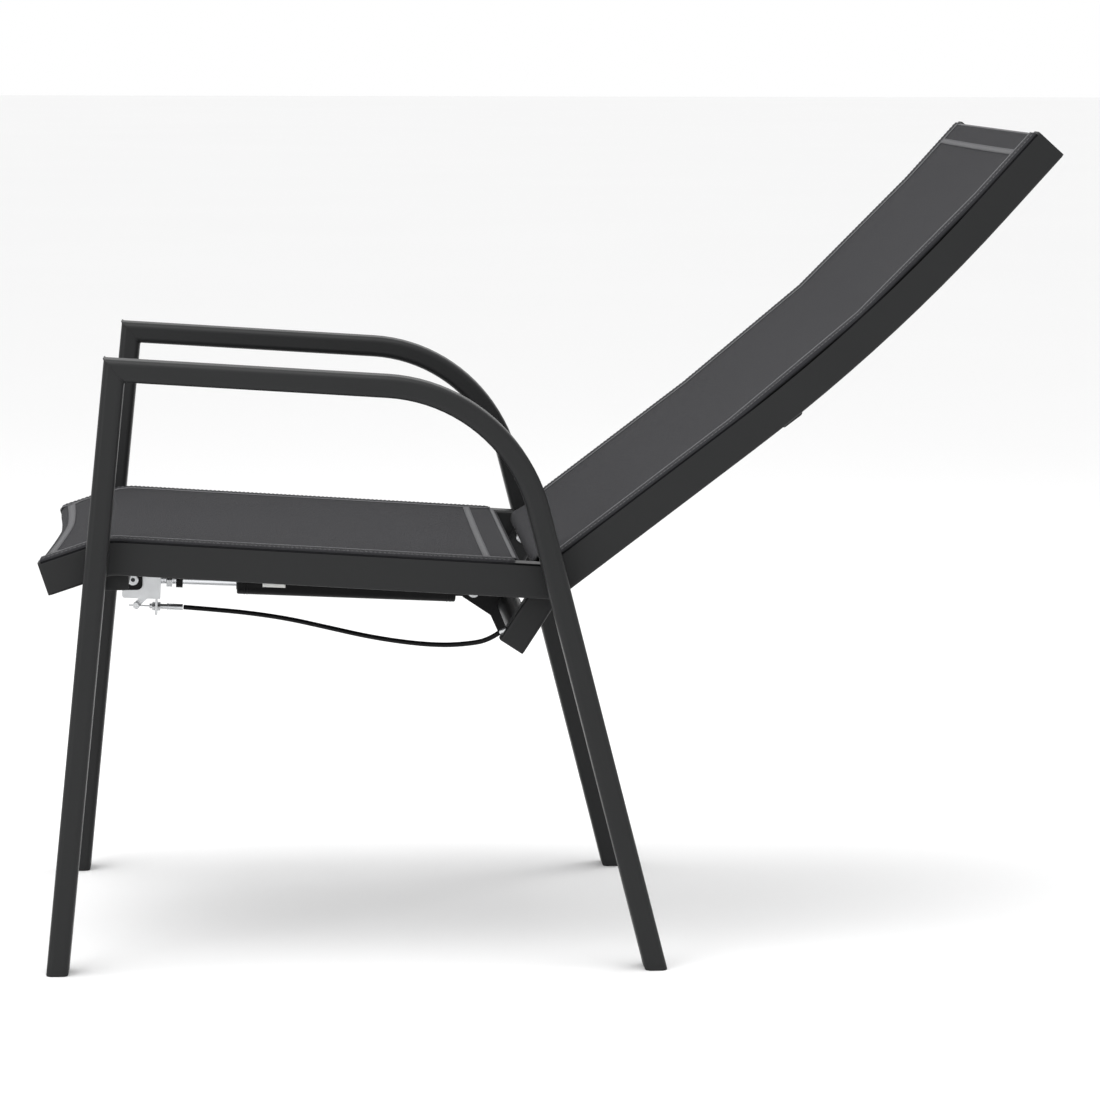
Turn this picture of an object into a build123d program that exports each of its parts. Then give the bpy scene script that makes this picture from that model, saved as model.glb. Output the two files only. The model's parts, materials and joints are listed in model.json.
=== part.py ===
from build123d import *
import os
from math import atan2, cos, degrees, hypot, pi, radians, sin

# Reclining garden armchair with a sling seat and a sling back on a lockable gas spring.
# Frame: X runs from the front edge of the seat to the back, Y to the sitter's right, Z up.
# The origin is on the floor, under the middle of the chair. Millimetres and degrees.
# It is drawn with the back leant right down. Left pieces lie at -Y, and right ones mirror them.

# Side frames: front leg, armrest and rear leg, by their centre lines in side view.
OVERALL_WIDTH = 604.0
TUBE_WIDTH = 40.0
TUBE_DEPTH = 22.0
TUBE_CORNER = 6.0
TUBE_WALL = 1.8
FRONT_FOOT_X = -494.0
FRONT_LEAN = 5.8
REAR_FOOT_X = 105.0
REAR_LEAN = 14.4
ARM_HEIGHT = 604.0
ARM_SLOPE = 3.5
ARM_BEND = 165.0
FOOT_THICKNESS = 8.0
FOOT_PLUG_LENGTH = 18.0

# Sling rails: one extruded section for seat and back, with a groove that holds the fabric's welt.
RAIL_WIDTH = 28.0
RAIL_DEPTH = 35.0
RAIL_CORNER = 3.0
RAIL_WALL = 2.0
GROOVE_DROP = 6.5
GROOVE_INSET = 6.0
GROOVE_RADIUS = 3.2
GROOVE_MOUTH = 2.4
WELT_RADIUS = 2.4
CAP_THICKNESS = 3.0
CAP_PLUG_LENGTH = 12.0
CAP_TAPER = 8.0
INNER_CORNER = 1.0
SOLE_FILLET = 1.5
SLING_THICKNESS = 1.5

# Seat: the rails' top line, which bends down at the nose.
SEAT_HEIGHT = 433.0
SEAT_BEND_X = -443.0
SEAT_SLOPE = 3.5
NOSE_LENGTH = 72.0
NOSE_DROP = 18.5
NOSE_BEND = 60.0
SEAT_SLING_FRONT = 24.0
SEAT_SLING_REAR_X = -29.0

# Hinge between seat rail and back, and the back's line above it.
HINGE_X = -2.0
HINGE_HEIGHT = 381.0
BACK_ANGLE = 37.2
BACK_RISE = 4.2
BACK_BOW = 10.8
BACK_BEND = 1800.0
BACK_LOWER_LENGTH = 417.0
BACK_UPPER_LENGTH = 256.0
MOVING_GAP = 2.0
SEAT_END_CLEAR = 7.5
SEAT_END_ANGLE = 30.5
HINGE_BOLT_RADIUS = 4.0
HINGE_HEAD_RADIUS = 6.5
HINGE_WASHER_RADIUS = 8.0
HINGE_HEAD_HEIGHT = 4.0
HINGE_BUSH_RADIUS = 6.0
HEAD_FILLET = 1.2
RUNNING_CLEARANCE = 0.05
FACE_CLEARANCE = 0.3

# Hinge arms, on the inner side of the back rails, that reach down to the gas spring's bar.
ARM_BAR_WIDTH = 24.0
ARM_BAR_DEPTH = 28.0
ARM_BAR_WALL = 2.0
ARM_BAR_ANGLE = 57.0
ARM_BAR_KNEE = 22.3
ARM_BAR_LOWER = 94.0
ARM_BAR_UPPER = 85.0
ARM_BAR_BEND = 30.0

# Cross bars: radius of each round bar, and where its centre lies in side view.
FRONT_BAR_RADIUS, FRONT_BAR_X, FRONT_BAR_Z = 10.0, -478.0, 409.0
REAR_BAR_RADIUS, REAR_BAR_X, REAR_BAR_Z = 9.0, -42.0, 394.0
LOW_SLEEVE_RADIUS, LOW_SLEEVE_X, LOW_SLEEVE_Z = 8.0, -5.0, 402.0
SPRING_BAR_RADIUS, SPRING_BAR_RISE = 12.0, 15.0
TOP_BAR_RADIUS, TOP_BAR_DISTANCE = 9.0, 14.0
BRACE_WIDTH, BRACE_DEPTH, BRACE_STATION, BRACE_PROUD = 24.0, 12.0, 298.0, 3.5
BAR_WALL = 1.8
BAR_CORNER = 2.5
SLEEVE_LINK_LENGTH = 60.0

# Gas spring: front bolt, rear pin, and stations along the line between them, from the front bolt.
SPRING_FRONT_X, SPRING_FRONT_Z = -424.0, 363.0
SPRING_REAR_X, SPRING_REAR_Z = -66.0, 348.0
SPRING_TUBE_X, SPRING_TUBE_Z = -435.0, 390.0
SPRING_TUBE_WIDTH, SPRING_TUBE_HEIGHT = 25.0, 20.0
PLATE_THICKNESS = 3.0
PLATE_LENGTH, PLATE_DROP, PLATE_CORNER = 33.5, 28.0, 6.0
PIN_RADIUS, PIN_RIM, PIN_HEAD_HEIGHT, NUT_RIM, NUT_HEIGHT = 4.0, 2.0, 2.0, 2.5, 5.0
HEAD_WIDTH, HEAD_TOP, HEAD_BOTTOM = 26.0, 10.0, 20.0
HEAD_START, HEAD_END = -11.0, 29.0
ROD_RADIUS = 5.0
ROD_START, ROD_END = 22.0, 190.0
LOCKNUT_START, LOCKNUT_LENGTH, LOCKNUT_FLATS = 35.0, 6.0, 15.0
BUFFER_START, BUFFER_LENGTH, BUFFER_RADIUS = 45.0, 7.0, 8.5
CYLINDER_RADIUS, CYLINDER_WALL = 13.0, 1.5
CYLINDER_START, CYLINDER_END = 109.0, 340.0
EYE_RADIUS, EYE_WIDTH, EYE_PLAY = 11.0, 20.0, 2.6

# Outline of the plates that carry the rear pin, from the pin: forward and rearward, then up and down.
REAR_PLATE_OUTLINE = [(-12, 9), (-12, -5), (18, -25), (27, -45), (41, -39), (52, -12), (8, 15)]

# Release arm, pin and cable fittings, in the gas spring's own line: station along it, and height.
SLOT_START, SLOT_END, SLOT_WIDTH, SLOT_FOOT_END, SLOT_FOOT_TOP = 6.0, 19.0, 4.6, 22.5, -6.0
PIVOT_STATION, PIVOT_HEIGHT, PIVOT_RADIUS = 14.0, 6.0, 2.0
RELEASE_ARM_THICKNESS, RELEASE_ARM_WIDTH, ARM_KNEE_HEIGHT = 4.0, 6.0, -18.5
CLAMP_STATION, WIRE_HEIGHT, CLAMP_RADIUS, CLAMP_LENGTH = 4.0, -28.5, 3.5, 11.0
WIRE_SIDE = 5.5
WIRE_RADIUS, WIRE_IN_ADJUSTER, WIRE_TAIL = 0.8, 2.0, 4.0
RELEASE_PIN_RADIUS = 1.8
RELEASE_PIN_END = 36.0
TAB_START, TAB_THICKNESS, TAB_DROP = 24.0, 2.5, 37.0
ADJUSTER_START, ADJUSTER_END, ADJUSTER_RADIUS, ADJUSTER_BORE = 18.0, 37.0, 2.6, 1.9
ADJUSTER_NUT_FLATS, ADJUSTER_NUT_LENGTH = 8.5, 3.0
FERRULE_END, FERRULE_RADIUS = 53.0, 3.1

# Cable housing: its points from the front ferrule to the left hinge arm, chosen by hand.
HOUSING_RADIUS = 2.5
HOUSING_GAP = 1.0
CABLE_ROUTE = [
    (-338, -10, 330),
    (-302, -23, 328),
    (-262, -47, 325),
    (-221, -81, 320),
    (-180, -116, 315),
    (-140, -150, 313),
    (-107, -178, 314),
    (-82, -199, 318),
]
ENTRY_RISE = 6.0
ENTRY_LENGTH = 8.0

HALF_WIDTH = OVERALL_WIDTH / 2
LEG_INNER = HALF_WIDTH - TUBE_WIDTH
SEAT_INNER = LEG_INNER - RAIL_WIDTH
BACK_OUTER = LEG_INNER - MOVING_GAP
BACK_INNER = BACK_OUTER - RAIL_WIDTH
ARM_BAR_INNER = BACK_INNER - ARM_BAR_WIDTH


def heading(angle):
    """The unit vector in side view at an angle above the +X direction."""
    return Vector(cos(radians(angle)), 0, sin(radians(angle)))


def beside(point, angle, distance):
    """The point at a distance to the left of a heading, which is above it where it runs rearward."""
    return point + heading(angle + 90) * distance


def meet(start, angle, other, other_angle):
    """Where two lines in side view cross, each given by a point and a heading."""
    gap = other - start
    across = heading(other_angle + 90)
    return start + heading(angle) * (gap.dot(across) / heading(angle).dot(across))


def side(point, lateral):
    """The point of the left half that lies at a lateral distance from the middle."""
    return Vector(point.X, -lateral, point.Z)


def across_plane(point, angle, lateral=0.0):
    """The plane square to a heading, with its x towards the chair's middle and its y upwards."""
    return Plane(origin=side(point, lateral), x_dir=(0, 1, 0), z_dir=heading(angle))


def side_plane(lateral):
    """The side-view plane at a lateral distance from the middle, facing the chair's left."""
    return Plane.XZ.offset(lateral)


def save(shape, name):
    """Label one finished piece and write it."""
    shape.label = name
    export_step(shape, f"parts/{name}.step")


def save_pair(left, name):
    """Write a left piece and its mirror image on the right."""
    save(left, f"left_{name}")
    save(mirror(left, about=Plane.XZ), f"right_{name}")


def bent_path(points, radius, lateral):
    """A path of straight runs and tangent arcs in side view, at a lateral distance."""
    with BuildLine() as path:
        FilletPolyline(*[side(point, lateral) for point in points], radius=radius)
    return path.line


def hollow_section(plane, width, depth, corner, wall):
    """The section of a hollow tube with rounded corners."""
    with BuildSketch(plane) as section:
        RectangleRounded(width, depth, corner)
        inner_corner = max(corner - wall, INNER_CORNER)
        RectangleRounded(width - 2 * wall, depth - 2 * wall, inner_corner, mode=Mode.SUBTRACT)
    return section.sketch


def rail_section(plane):
    """The sling rail's section, with its welt groove open at the top outer corner."""
    hollow_top = RAIL_DEPTH / 2 - GROOVE_DROP - GROOVE_RADIUS - RAIL_WALL
    hollow_bottom = RAIL_WALL - RAIL_DEPTH / 2
    groove_x = GROOVE_INSET - RAIL_WIDTH / 2
    groove_y = RAIL_DEPTH / 2 - GROOVE_DROP
    mouth_turn = 180 - degrees(atan2(GROOVE_DROP, GROOVE_INSET))
    with BuildSketch(plane) as section:
        RectangleRounded(RAIL_WIDTH, RAIL_DEPTH, RAIL_CORNER)
        with Locations((0, (hollow_top + hollow_bottom) / 2)):
            Rectangle(RAIL_WIDTH - 2 * RAIL_WALL, hollow_top - hollow_bottom, mode=Mode.SUBTRACT)
        with Locations((groove_x, groove_y)):
            Circle(GROOVE_RADIUS, mode=Mode.SUBTRACT)
        with Locations((groove_x - GROOVE_INSET / 2, groove_y + GROOVE_DROP / 2)):
            Rectangle(hypot(GROOVE_INSET, GROOVE_DROP), GROOVE_MOUTH, mouth_turn, mode=Mode.SUBTRACT)
    return section.sketch


def cross_bar(point, radius, half_length):
    """A hollow round bar across the chair."""
    with BuildPart() as bar:
        with BuildSketch(Plane(origin=side(point, half_length), x_dir=(1, 0, 0), z_dir=(0, 1, 0))):
            Circle(radius)
            Circle(radius - BAR_WALL, mode=Mode.SUBTRACT)
        extrude(amount=2 * half_length)
    return bar.part


def end_cap(point, angle, lateral, width, depth, corner, plug):
    """A moulded cap on a tube's end, with a plug inside the tube; the heading points out of the tube."""
    with BuildPart() as cap:
        with BuildSketch(across_plane(point, angle, lateral)):
            RectangleRounded(width, depth, corner)
        extrude(amount=CAP_THICKNESS, taper=CAP_TAPER)
        with BuildSketch(across_plane(point, angle, lateral)):
            with Locations(plug[:2]):
                RectangleRounded(plug[2], plug[3], INNER_CORNER)
        extrude(amount=-CAP_PLUG_LENGTH)
    return cap.part


os.makedirs("parts", exist_ok=True)

# Side frames
front_foot = Vector(FRONT_FOOT_X, 0, 0)
rear_foot = Vector(REAR_FOOT_X, 0, 0)
front_heading = 90 - FRONT_LEAN
rear_heading = REAR_LEAN - 90
arm_start = front_foot + Vector(0, 0, ARM_HEIGHT) + Vector(ARM_HEIGHT * sin(radians(FRONT_LEAN)), 0, 0)
arm_corner = meet(front_foot, front_heading, arm_start, -ARM_SLOPE)
rear_corner = meet(arm_corner, -ARM_SLOPE, rear_foot, rear_heading)
tube_middle = LEG_INNER + TUBE_WIDTH / 2
mitre = Plane(
    origin=side(arm_corner, 0),
    x_dir=(0, 1, 0),
    z_dir=heading((front_heading - ARM_SLOPE) / 2),
)
sole_cut = Plane.XY.offset(FOOT_THICKNESS)

below_foot = front_foot - heading(front_heading) * TUBE_DEPTH
with BuildPart() as front_leg:
    with BuildSketch(across_plane(below_foot, front_heading, tube_middle)):
        add(hollow_section(Plane.XY, TUBE_WIDTH, TUBE_DEPTH, TUBE_CORNER, TUBE_WALL))
    extrude(amount=(arm_corner - front_foot).length + 3 * TUBE_DEPTH)
    split(bisect_by=mitre, keep=Keep.BOTTOM)
    split(bisect_by=sole_cut, keep=Keep.TOP)
save_pair(front_leg.part, "front_leg")

before_corner = arm_corner - heading(-ARM_SLOPE) * 2 * TUBE_DEPTH
past_foot = rear_foot + heading(rear_heading) * TUBE_DEPTH
arm_line = bent_path([before_corner, rear_corner, past_foot], ARM_BEND, tube_middle)
with BuildPart() as arm_tube:
    with BuildSketch(Plane(origin=arm_line @ 0, x_dir=(0, 1, 0), z_dir=arm_line % 0)):
        add(hollow_section(Plane.XY, TUBE_WIDTH, TUBE_DEPTH, TUBE_CORNER, TUBE_WALL))
    sweep(path=arm_line)
    split(bisect_by=mitre, keep=Keep.TOP)
    split(bisect_by=sole_cut, keep=Keep.TOP)
save_pair(arm_tube.part, "arm_tube")

for foot_name, foot_point, foot_heading in (
    ("front_foot", front_foot, front_heading),
    ("rear_foot", rear_foot, 180 + rear_heading),
):
    plug_size = (TUBE_WIDTH - 2 * TUBE_WALL, TUBE_DEPTH - 2 * TUBE_WALL)
    with BuildPart() as foot:
        sole_start = foot_point - heading(foot_heading) * TUBE_DEPTH
        with BuildSketch(across_plane(sole_start, foot_heading, tube_middle)):
            RectangleRounded(TUBE_WIDTH, TUBE_DEPTH, TUBE_CORNER)
        extrude(amount=3 * TUBE_DEPTH)
        split(bisect_by=sole_cut, keep=Keep.BOTTOM)
        split(bisect_by=Plane.XY, keep=Keep.TOP)
        fillet(foot.faces().sort_by(Axis.Z)[0].edges(), radius=SOLE_FILLET)
        plug_start = foot_point + heading(foot_heading) * FOOT_THICKNESS / 2
        with BuildSketch(across_plane(plug_start, foot_heading, tube_middle)):
            RectangleRounded(*plug_size, TUBE_CORNER - TUBE_WALL)
        extrude(amount=FOOT_PLUG_LENGTH)
    save_pair(foot.part, foot_name)

# Seat rails, their caps and welts
seat_bend = Vector(SEAT_BEND_X, 0, SEAT_HEIGHT)
nose_end = seat_bend - heading(NOSE_DROP) * (NOSE_LENGTH - CAP_THICKNESS)
seat_middle = SEAT_INNER + RAIL_WIDTH / 2
hinge = Vector(HINGE_X, 0, HINGE_HEIGHT)
seat_end_cut = Plane(
    origin=hinge + heading(SEAT_END_ANGLE) * SEAT_END_CLEAR,
    x_dir=(0, 1, 0),
    z_dir=heading(SEAT_END_ANGLE),
)


def seat_points(drop):
    """The seat rail's line at a depth below its top: nose end, bend and a point past the hinge."""
    nose = beside(nose_end, NOSE_DROP, -drop)
    rear = beside(seat_bend, -SEAT_SLOPE, -drop)
    bend = meet(nose, NOSE_DROP, rear, -SEAT_SLOPE)
    return [nose, bend, bend + heading(-SEAT_SLOPE) * (HINGE_X - SEAT_BEND_X + RAIL_DEPTH)]


seat_line = bent_path(seat_points(RAIL_DEPTH / 2), NOSE_BEND, seat_middle)
with BuildPart() as seat_rail:
    with BuildSketch(Plane(origin=seat_line @ 0, x_dir=(0, 1, 0), z_dir=seat_line % 0)):
        add(rail_section(Plane.XY))
    sweep(path=seat_line)
    split(bisect_by=seat_end_cut, keep=Keep.BOTTOM)
    with BuildSketch(Plane(origin=side(hinge, SEAT_INNER - 1), x_dir=(1, 0, 0), z_dir=(0, -1, 0))):
        Circle(HINGE_BOLT_RADIUS)
    extrude(amount=RAIL_WIDTH - RAIL_WALL, mode=Mode.SUBTRACT)
save_pair(seat_rail.part, "seat_rail")

rail_plug = (
    0,
    -(GROOVE_DROP + GROOVE_RADIUS) / 2,
    RAIL_WIDTH - 2 * RAIL_WALL,
    RAIL_DEPTH - GROOVE_DROP - GROOVE_RADIUS - 2 * RAIL_WALL,
)
nose_plug = (rail_plug[0], -rail_plug[1], rail_plug[2], rail_plug[3])
save_pair(
    end_cap(
        beside(nose_end, NOSE_DROP, -RAIL_DEPTH / 2), NOSE_DROP + 180, seat_middle,
        RAIL_WIDTH, RAIL_DEPTH, RAIL_CORNER, nose_plug,
    ),
    "seat_rail_cap",
)

groove_lateral = LEG_INNER - GROOVE_INSET
seat_welt_points = seat_points(GROOVE_DROP)
seat_welt_points[0] += heading(NOSE_DROP) * SEAT_SLING_FRONT
seat_welt_points[2] = meet(seat_welt_points[1], -SEAT_SLOPE, Vector(SEAT_SLING_REAR_X, 0, 0), 90)
seat_welt_line = bent_path(seat_welt_points, NOSE_BEND + RAIL_DEPTH / 2 - GROOVE_DROP, groove_lateral)
with BuildPart() as seat_welt:
    with BuildSketch(Plane(origin=seat_welt_line @ 0, x_dir=(0, 1, 0), z_dir=seat_welt_line % 0)):
        Circle(WELT_RADIUS)
    sweep(path=seat_welt_line)
save_pair(seat_welt.part, "seat_welt")

save(cross_bar(Vector(FRONT_BAR_X, 0, FRONT_BAR_Z), FRONT_BAR_RADIUS, SEAT_INNER), "seat_front_bar")
save(cross_bar(Vector(REAR_BAR_X, 0, REAR_BAR_Z), REAR_BAR_RADIUS, SEAT_INNER), "seat_rear_bar")


seat_top = seat_points(0)
seat_top[0] += heading(NOSE_DROP) * SEAT_SLING_FRONT
seat_top[2] = meet(seat_top[1], -SEAT_SLOPE, Vector(SEAT_SLING_REAR_X, 0, 0), 90)
with BuildPart() as seat_sling:
    with BuildSketch(side_plane(-LEG_INNER + GROOVE_INSET)):
        with BuildLine():
            FilletPolyline(*[(p.X, p.Z) for p in seat_top], radius=NOSE_BEND + RAIL_DEPTH / 2)
            offset(amount=SLING_THICKNESS, side=Side.LEFT)
        make_face()
    extrude(amount=2 * (LEG_INNER - GROOVE_INSET))
save(seat_sling.part, "seat_sling")

# Back rails: straight from the hinge, then bowed, by their centre line
back_start = beside(hinge, BACK_ANGLE, BACK_RISE)
back_bend = back_start + heading(BACK_ANGLE) * BACK_LOWER_LENGTH
back_top_angle = BACK_ANGLE + BACK_BOW
back_end = back_bend + heading(back_top_angle) * (BACK_UPPER_LENGTH - CAP_THICKNESS)
back_middle = BACK_INNER + RAIL_WIDTH / 2


def back_points(rise):
    """The back rail's line at a height above its centre line: foot, bend and top end."""
    start = beside(back_start, BACK_ANGLE, rise)
    end = beside(back_end, back_top_angle, rise)
    return [start, meet(start, BACK_ANGLE, end, back_top_angle), end]


leg_back_cut = Plane(
    origin=beside(rear_foot, rear_heading, TUBE_DEPTH / 2 - 1),
    x_dir=(0, 1, 0),
    z_dir=heading(REAR_LEAN),
)
back_line = bent_path(back_points(0), BACK_BEND, back_middle)
with BuildPart() as back_rail:
    with BuildSketch(Plane(origin=back_line @ 0, x_dir=(0, 1, 0), z_dir=back_line % 0)):
        add(rail_section(Plane.XY))
    sweep(path=back_line)
    split(bisect_by=leg_back_cut, keep=Keep.TOP)
save_pair(back_rail.part, "back_rail")
save_pair(
    end_cap(back_end, back_top_angle, back_middle, RAIL_WIDTH, RAIL_DEPTH, RAIL_CORNER, rail_plug),
    "back_rail_cap",
)

back_groove_rise = RAIL_DEPTH / 2 - GROOVE_DROP
back_welt_points = back_points(back_groove_rise)
back_welt_points[0] += heading(BACK_ANGLE) * RAIL_DEPTH
with BuildPart() as back_welt:
    back_welt_line = bent_path(back_welt_points, BACK_BEND - back_groove_rise, BACK_OUTER - GROOVE_INSET)
    with BuildSketch(Plane(origin=back_welt_line @ 0, x_dir=(0, 1, 0), z_dir=back_welt_line % 0)):
        Circle(WELT_RADIUS)
    sweep(path=back_welt_line)
save_pair(back_welt.part, "back_welt")

# Hinge arms, with the bushes, bolts and washers that they turn on
arm_bar_middle = ARM_BAR_INNER + ARM_BAR_WIDTH / 2
knee = back_start + heading(BACK_ANGLE) * ARM_BAR_KNEE
arm_bar_foot = knee - heading(ARM_BAR_ANGLE) * (ARM_BAR_LOWER - CAP_THICKNESS)
arm_bar_line = bent_path(
    [arm_bar_foot, knee, knee + heading(BACK_ANGLE) * ARM_BAR_UPPER],
    ARM_BAR_BEND,
    arm_bar_middle,
)
arm_bar_front = beside(arm_bar_foot, ARM_BAR_ANGLE, ARM_BAR_DEPTH / 2)
entry_point = side(arm_bar_front + heading(ARM_BAR_ANGLE) * ENTRY_RISE, arm_bar_middle)
entry_heading = (entry_point - Vector(*CABLE_ROUTE[-1])).normalized()
entry_start = entry_point - entry_heading * ENTRY_LENGTH / 2
hinge_bolt_plane = Plane(origin=side(hinge, ARM_BAR_INNER - MOVING_GAP), x_dir=(1, 0, 0), z_dir=(0, -1, 0))
with BuildPart() as hinge_arm:
    with BuildSketch(Plane(origin=arm_bar_line @ 0, x_dir=(0, 1, 0), z_dir=arm_bar_line % 0)):
        add(hollow_section(Plane.XY, ARM_BAR_WIDTH, ARM_BAR_DEPTH, RAIL_CORNER, ARM_BAR_WALL))
    sweep(path=arm_bar_line)
    with BuildSketch(hinge_bolt_plane):
        Circle(HINGE_BUSH_RADIUS)
    extrude(amount=ARM_BAR_WIDTH + 2 * MOVING_GAP, mode=Mode.SUBTRACT)
arm_bar_plug = (0, 0, ARM_BAR_WIDTH - 2 * ARM_BAR_WALL, ARM_BAR_DEPTH - 2 * ARM_BAR_WALL)
hinge_arm_cap = end_cap(
    arm_bar_foot, ARM_BAR_ANGLE + 180, arm_bar_middle,
    ARM_BAR_WIDTH, ARM_BAR_DEPTH, RAIL_CORNER, arm_bar_plug,
)
save(mirror(hinge_arm.part, about=Plane.XZ), "right_hinge_arm")
save(mirror(hinge_arm_cap, about=Plane.XZ), "right_hinge_arm_cap")

# The cable's entry ferrule goes obliquely through the left arm and its cap
with BuildPart() as cable_entry:
    with BuildSketch(Plane(origin=entry_start, z_dir=entry_heading)):
        Circle(FERRULE_RADIUS)
    extrude(amount=ENTRY_LENGTH)
save(cable_entry.part, "cable_entry")
for pierced, pierced_name in ((hinge_arm.part, "left_hinge_arm"), (hinge_arm_cap, "left_hinge_arm_cap")):
    with BuildPart() as left_piece:
        add(pierced)
        add(cable_entry.part, mode=Mode.SUBTRACT)
    save(left_piece.part, pierced_name)

with BuildPart() as hinge_bushes:
    with BuildSketch(Plane(origin=side(hinge, ARM_BAR_INNER), x_dir=(1, 0, 0), z_dir=(0, -1, 0))):
        Circle(HINGE_BUSH_RADIUS)
        Circle(HINGE_BOLT_RADIUS + RUNNING_CLEARANCE, mode=Mode.SUBTRACT)
    extrude(amount=ARM_BAR_WIDTH)
    mirror(about=Plane.XZ)
save(hinge_bushes.part, "hinge_bushes")

bolt_reach = LEG_INNER - RAIL_WALL - ARM_BAR_INNER
with BuildPart() as hinge_bolts:
    with BuildSketch(Plane(origin=side(hinge, ARM_BAR_INNER), x_dir=(1, 0, 0), z_dir=(0, -1, 0))):
        Circle(HINGE_BOLT_RADIUS)
    extrude(amount=bolt_reach)
    bolt_head_point = side(hinge, ARM_BAR_INNER - FACE_CLEARANCE)
    with BuildSketch(Plane(origin=bolt_head_point, x_dir=(1, 0, 0), z_dir=(0, 1, 0))):
        Circle(HINGE_HEAD_RADIUS)
    extrude(amount=HINGE_HEAD_HEIGHT)
    fillet(hinge_bolts.faces().sort_by(Axis.Y)[-1].edges(), radius=HEAD_FILLET)
    with BuildSketch(Plane(origin=side(hinge, ARM_BAR_INNER), x_dir=(1, 0, 0), z_dir=(0, 1, 0))):
        Circle(HINGE_BOLT_RADIUS)
    extrude(amount=MOVING_GAP)
    mirror(about=Plane.XZ)
save(hinge_bolts.part, "hinge_bolts")

with BuildPart() as hinge_washers:
    washer_point = side(hinge, BACK_INNER + FACE_CLEARANCE)
    with BuildSketch(Plane(origin=washer_point, x_dir=(1, 0, 0), z_dir=(0, -1, 0))):
        Circle(HINGE_WASHER_RADIUS)
        Circle(HINGE_BOLT_RADIUS, mode=Mode.SUBTRACT)
    extrude(amount=MOVING_GAP - FACE_CLEARANCE)
    mirror(about=Plane.XZ)
save(hinge_washers.part, "hinge_washers")

# Cross bars of the back
save(cross_bar(Vector(LOW_SLEEVE_X, 0, LOW_SLEEVE_Z), LOW_SLEEVE_RADIUS, ARM_BAR_INNER), "back_sleeve_bar")
spring_bar = arm_bar_foot + heading(ARM_BAR_ANGLE) * SPRING_BAR_RISE
save(cross_bar(spring_bar, SPRING_BAR_RADIUS, ARM_BAR_INNER), "spring_bar")
top_bar = beside(back_end, back_top_angle, RAIL_DEPTH / 2 - TOP_BAR_RADIUS - RAIL_WALL) - (
    heading(back_top_angle) * TOP_BAR_DISTANCE
)
save(cross_bar(top_bar, TOP_BAR_RADIUS, BACK_INNER), "back_top_bar")

brace_point = beside(
    back_start + heading(BACK_ANGLE) * BRACE_STATION, BACK_ANGLE, (BRACE_DEPTH - RAIL_DEPTH) / 2 - BRACE_PROUD
)
with BuildPart() as back_brace:
    with BuildSketch(Plane(origin=side(brace_point, BACK_INNER), x_dir=heading(BACK_ANGLE), z_dir=(0, 1, 0))):
        add(hollow_section(Plane.XY, BRACE_WIDTH, BRACE_DEPTH, RAIL_CORNER, BAR_WALL))
    extrude(amount=2 * BACK_INNER)
save(back_brace.part, "back_brace")

# Back sling, which lies on the rails' tops and hangs over their lower ends between the hinge arms
back_top = back_points(RAIL_DEPTH / 2)
sleeve_axis = Vector(LOW_SLEEVE_X, 0, LOW_SLEEVE_Z)
sling_meets = back_top[0] + heading(BACK_ANGLE) * SLEEVE_LINK_LENGTH
sleeve_link = [
    beside(sleeve_axis, BACK_ANGLE, LOW_SLEEVE_RADIUS),
    beside(sleeve_axis, BACK_ANGLE, LOW_SLEEVE_RADIUS + SLING_THICKNESS),
    beside(sling_meets, BACK_ANGLE, SLING_THICKNESS),
    sling_meets,
]
with BuildPart() as back_sling:
    with BuildSketch(side_plane(-BACK_OUTER + GROOVE_INSET)):
        with BuildLine():
            FilletPolyline(*[(p.X, p.Z) for p in back_top], radius=BACK_BEND - RAIL_DEPTH / 2)
            offset(amount=SLING_THICKNESS, side=Side.LEFT)
        make_face()
    extrude(amount=2 * (BACK_OUTER - GROOVE_INSET))
    split(bisect_by=leg_back_cut, keep=Keep.TOP)
    with BuildSketch(side_plane(-ARM_BAR_INNER + MOVING_GAP)):
        with Locations((LOW_SLEEVE_X, LOW_SLEEVE_Z)):
            Circle(LOW_SLEEVE_RADIUS + SLING_THICKNESS)
        with BuildLine():
            Polyline(*[(point.X, point.Z) for point in sleeve_link], close=True)
        make_face()
        with Locations((LOW_SLEEVE_X, LOW_SLEEVE_Z)):
            Circle(LOW_SLEEVE_RADIUS, mode=Mode.SUBTRACT)
    extrude(amount=2 * (ARM_BAR_INNER - MOVING_GAP))
save(back_sling.part, "back_sling")

# Gas spring: its line, its front bracket and bolt
spring_front = Vector(SPRING_FRONT_X, 0, SPRING_FRONT_Z)
spring_rear = Vector(SPRING_REAR_X, 0, SPRING_REAR_Z)
spring_length = (spring_rear - spring_front).length
spring_x = (spring_rear - spring_front).normalized()


def spring_side(lateral):
    """The side-view plane at a lateral distance, with its origin on the front bolt and x along the spring."""
    return Plane(origin=side(spring_front, lateral), x_dir=spring_x, z_dir=(0, -1, 0))


def spring_plane(station, height=0.0, lateral=0.0):
    """The plane square to the gas spring at a station along it, facing the rear pin."""
    place = spring_side(lateral).from_local_coords(Vector(station, height, 0))
    return Plane(origin=place, x_dir=(0, 1, 0), z_dir=spring_x)


tube_floor = SPRING_TUBE_Z - SPRING_TUBE_HEIGHT / 2
with BuildPart() as spring_tube:
    with BuildSketch(side_plane(-SEAT_INNER)):
        with Locations((SPRING_TUBE_X, SPRING_TUBE_Z)):
            add(hollow_section(Plane.XY, SPRING_TUBE_WIDTH, SPRING_TUBE_HEIGHT, BAR_CORNER, BAR_WALL))
    extrude(amount=2 * SEAT_INNER)
save(spring_tube.part, "spring_cross_tube")

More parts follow.
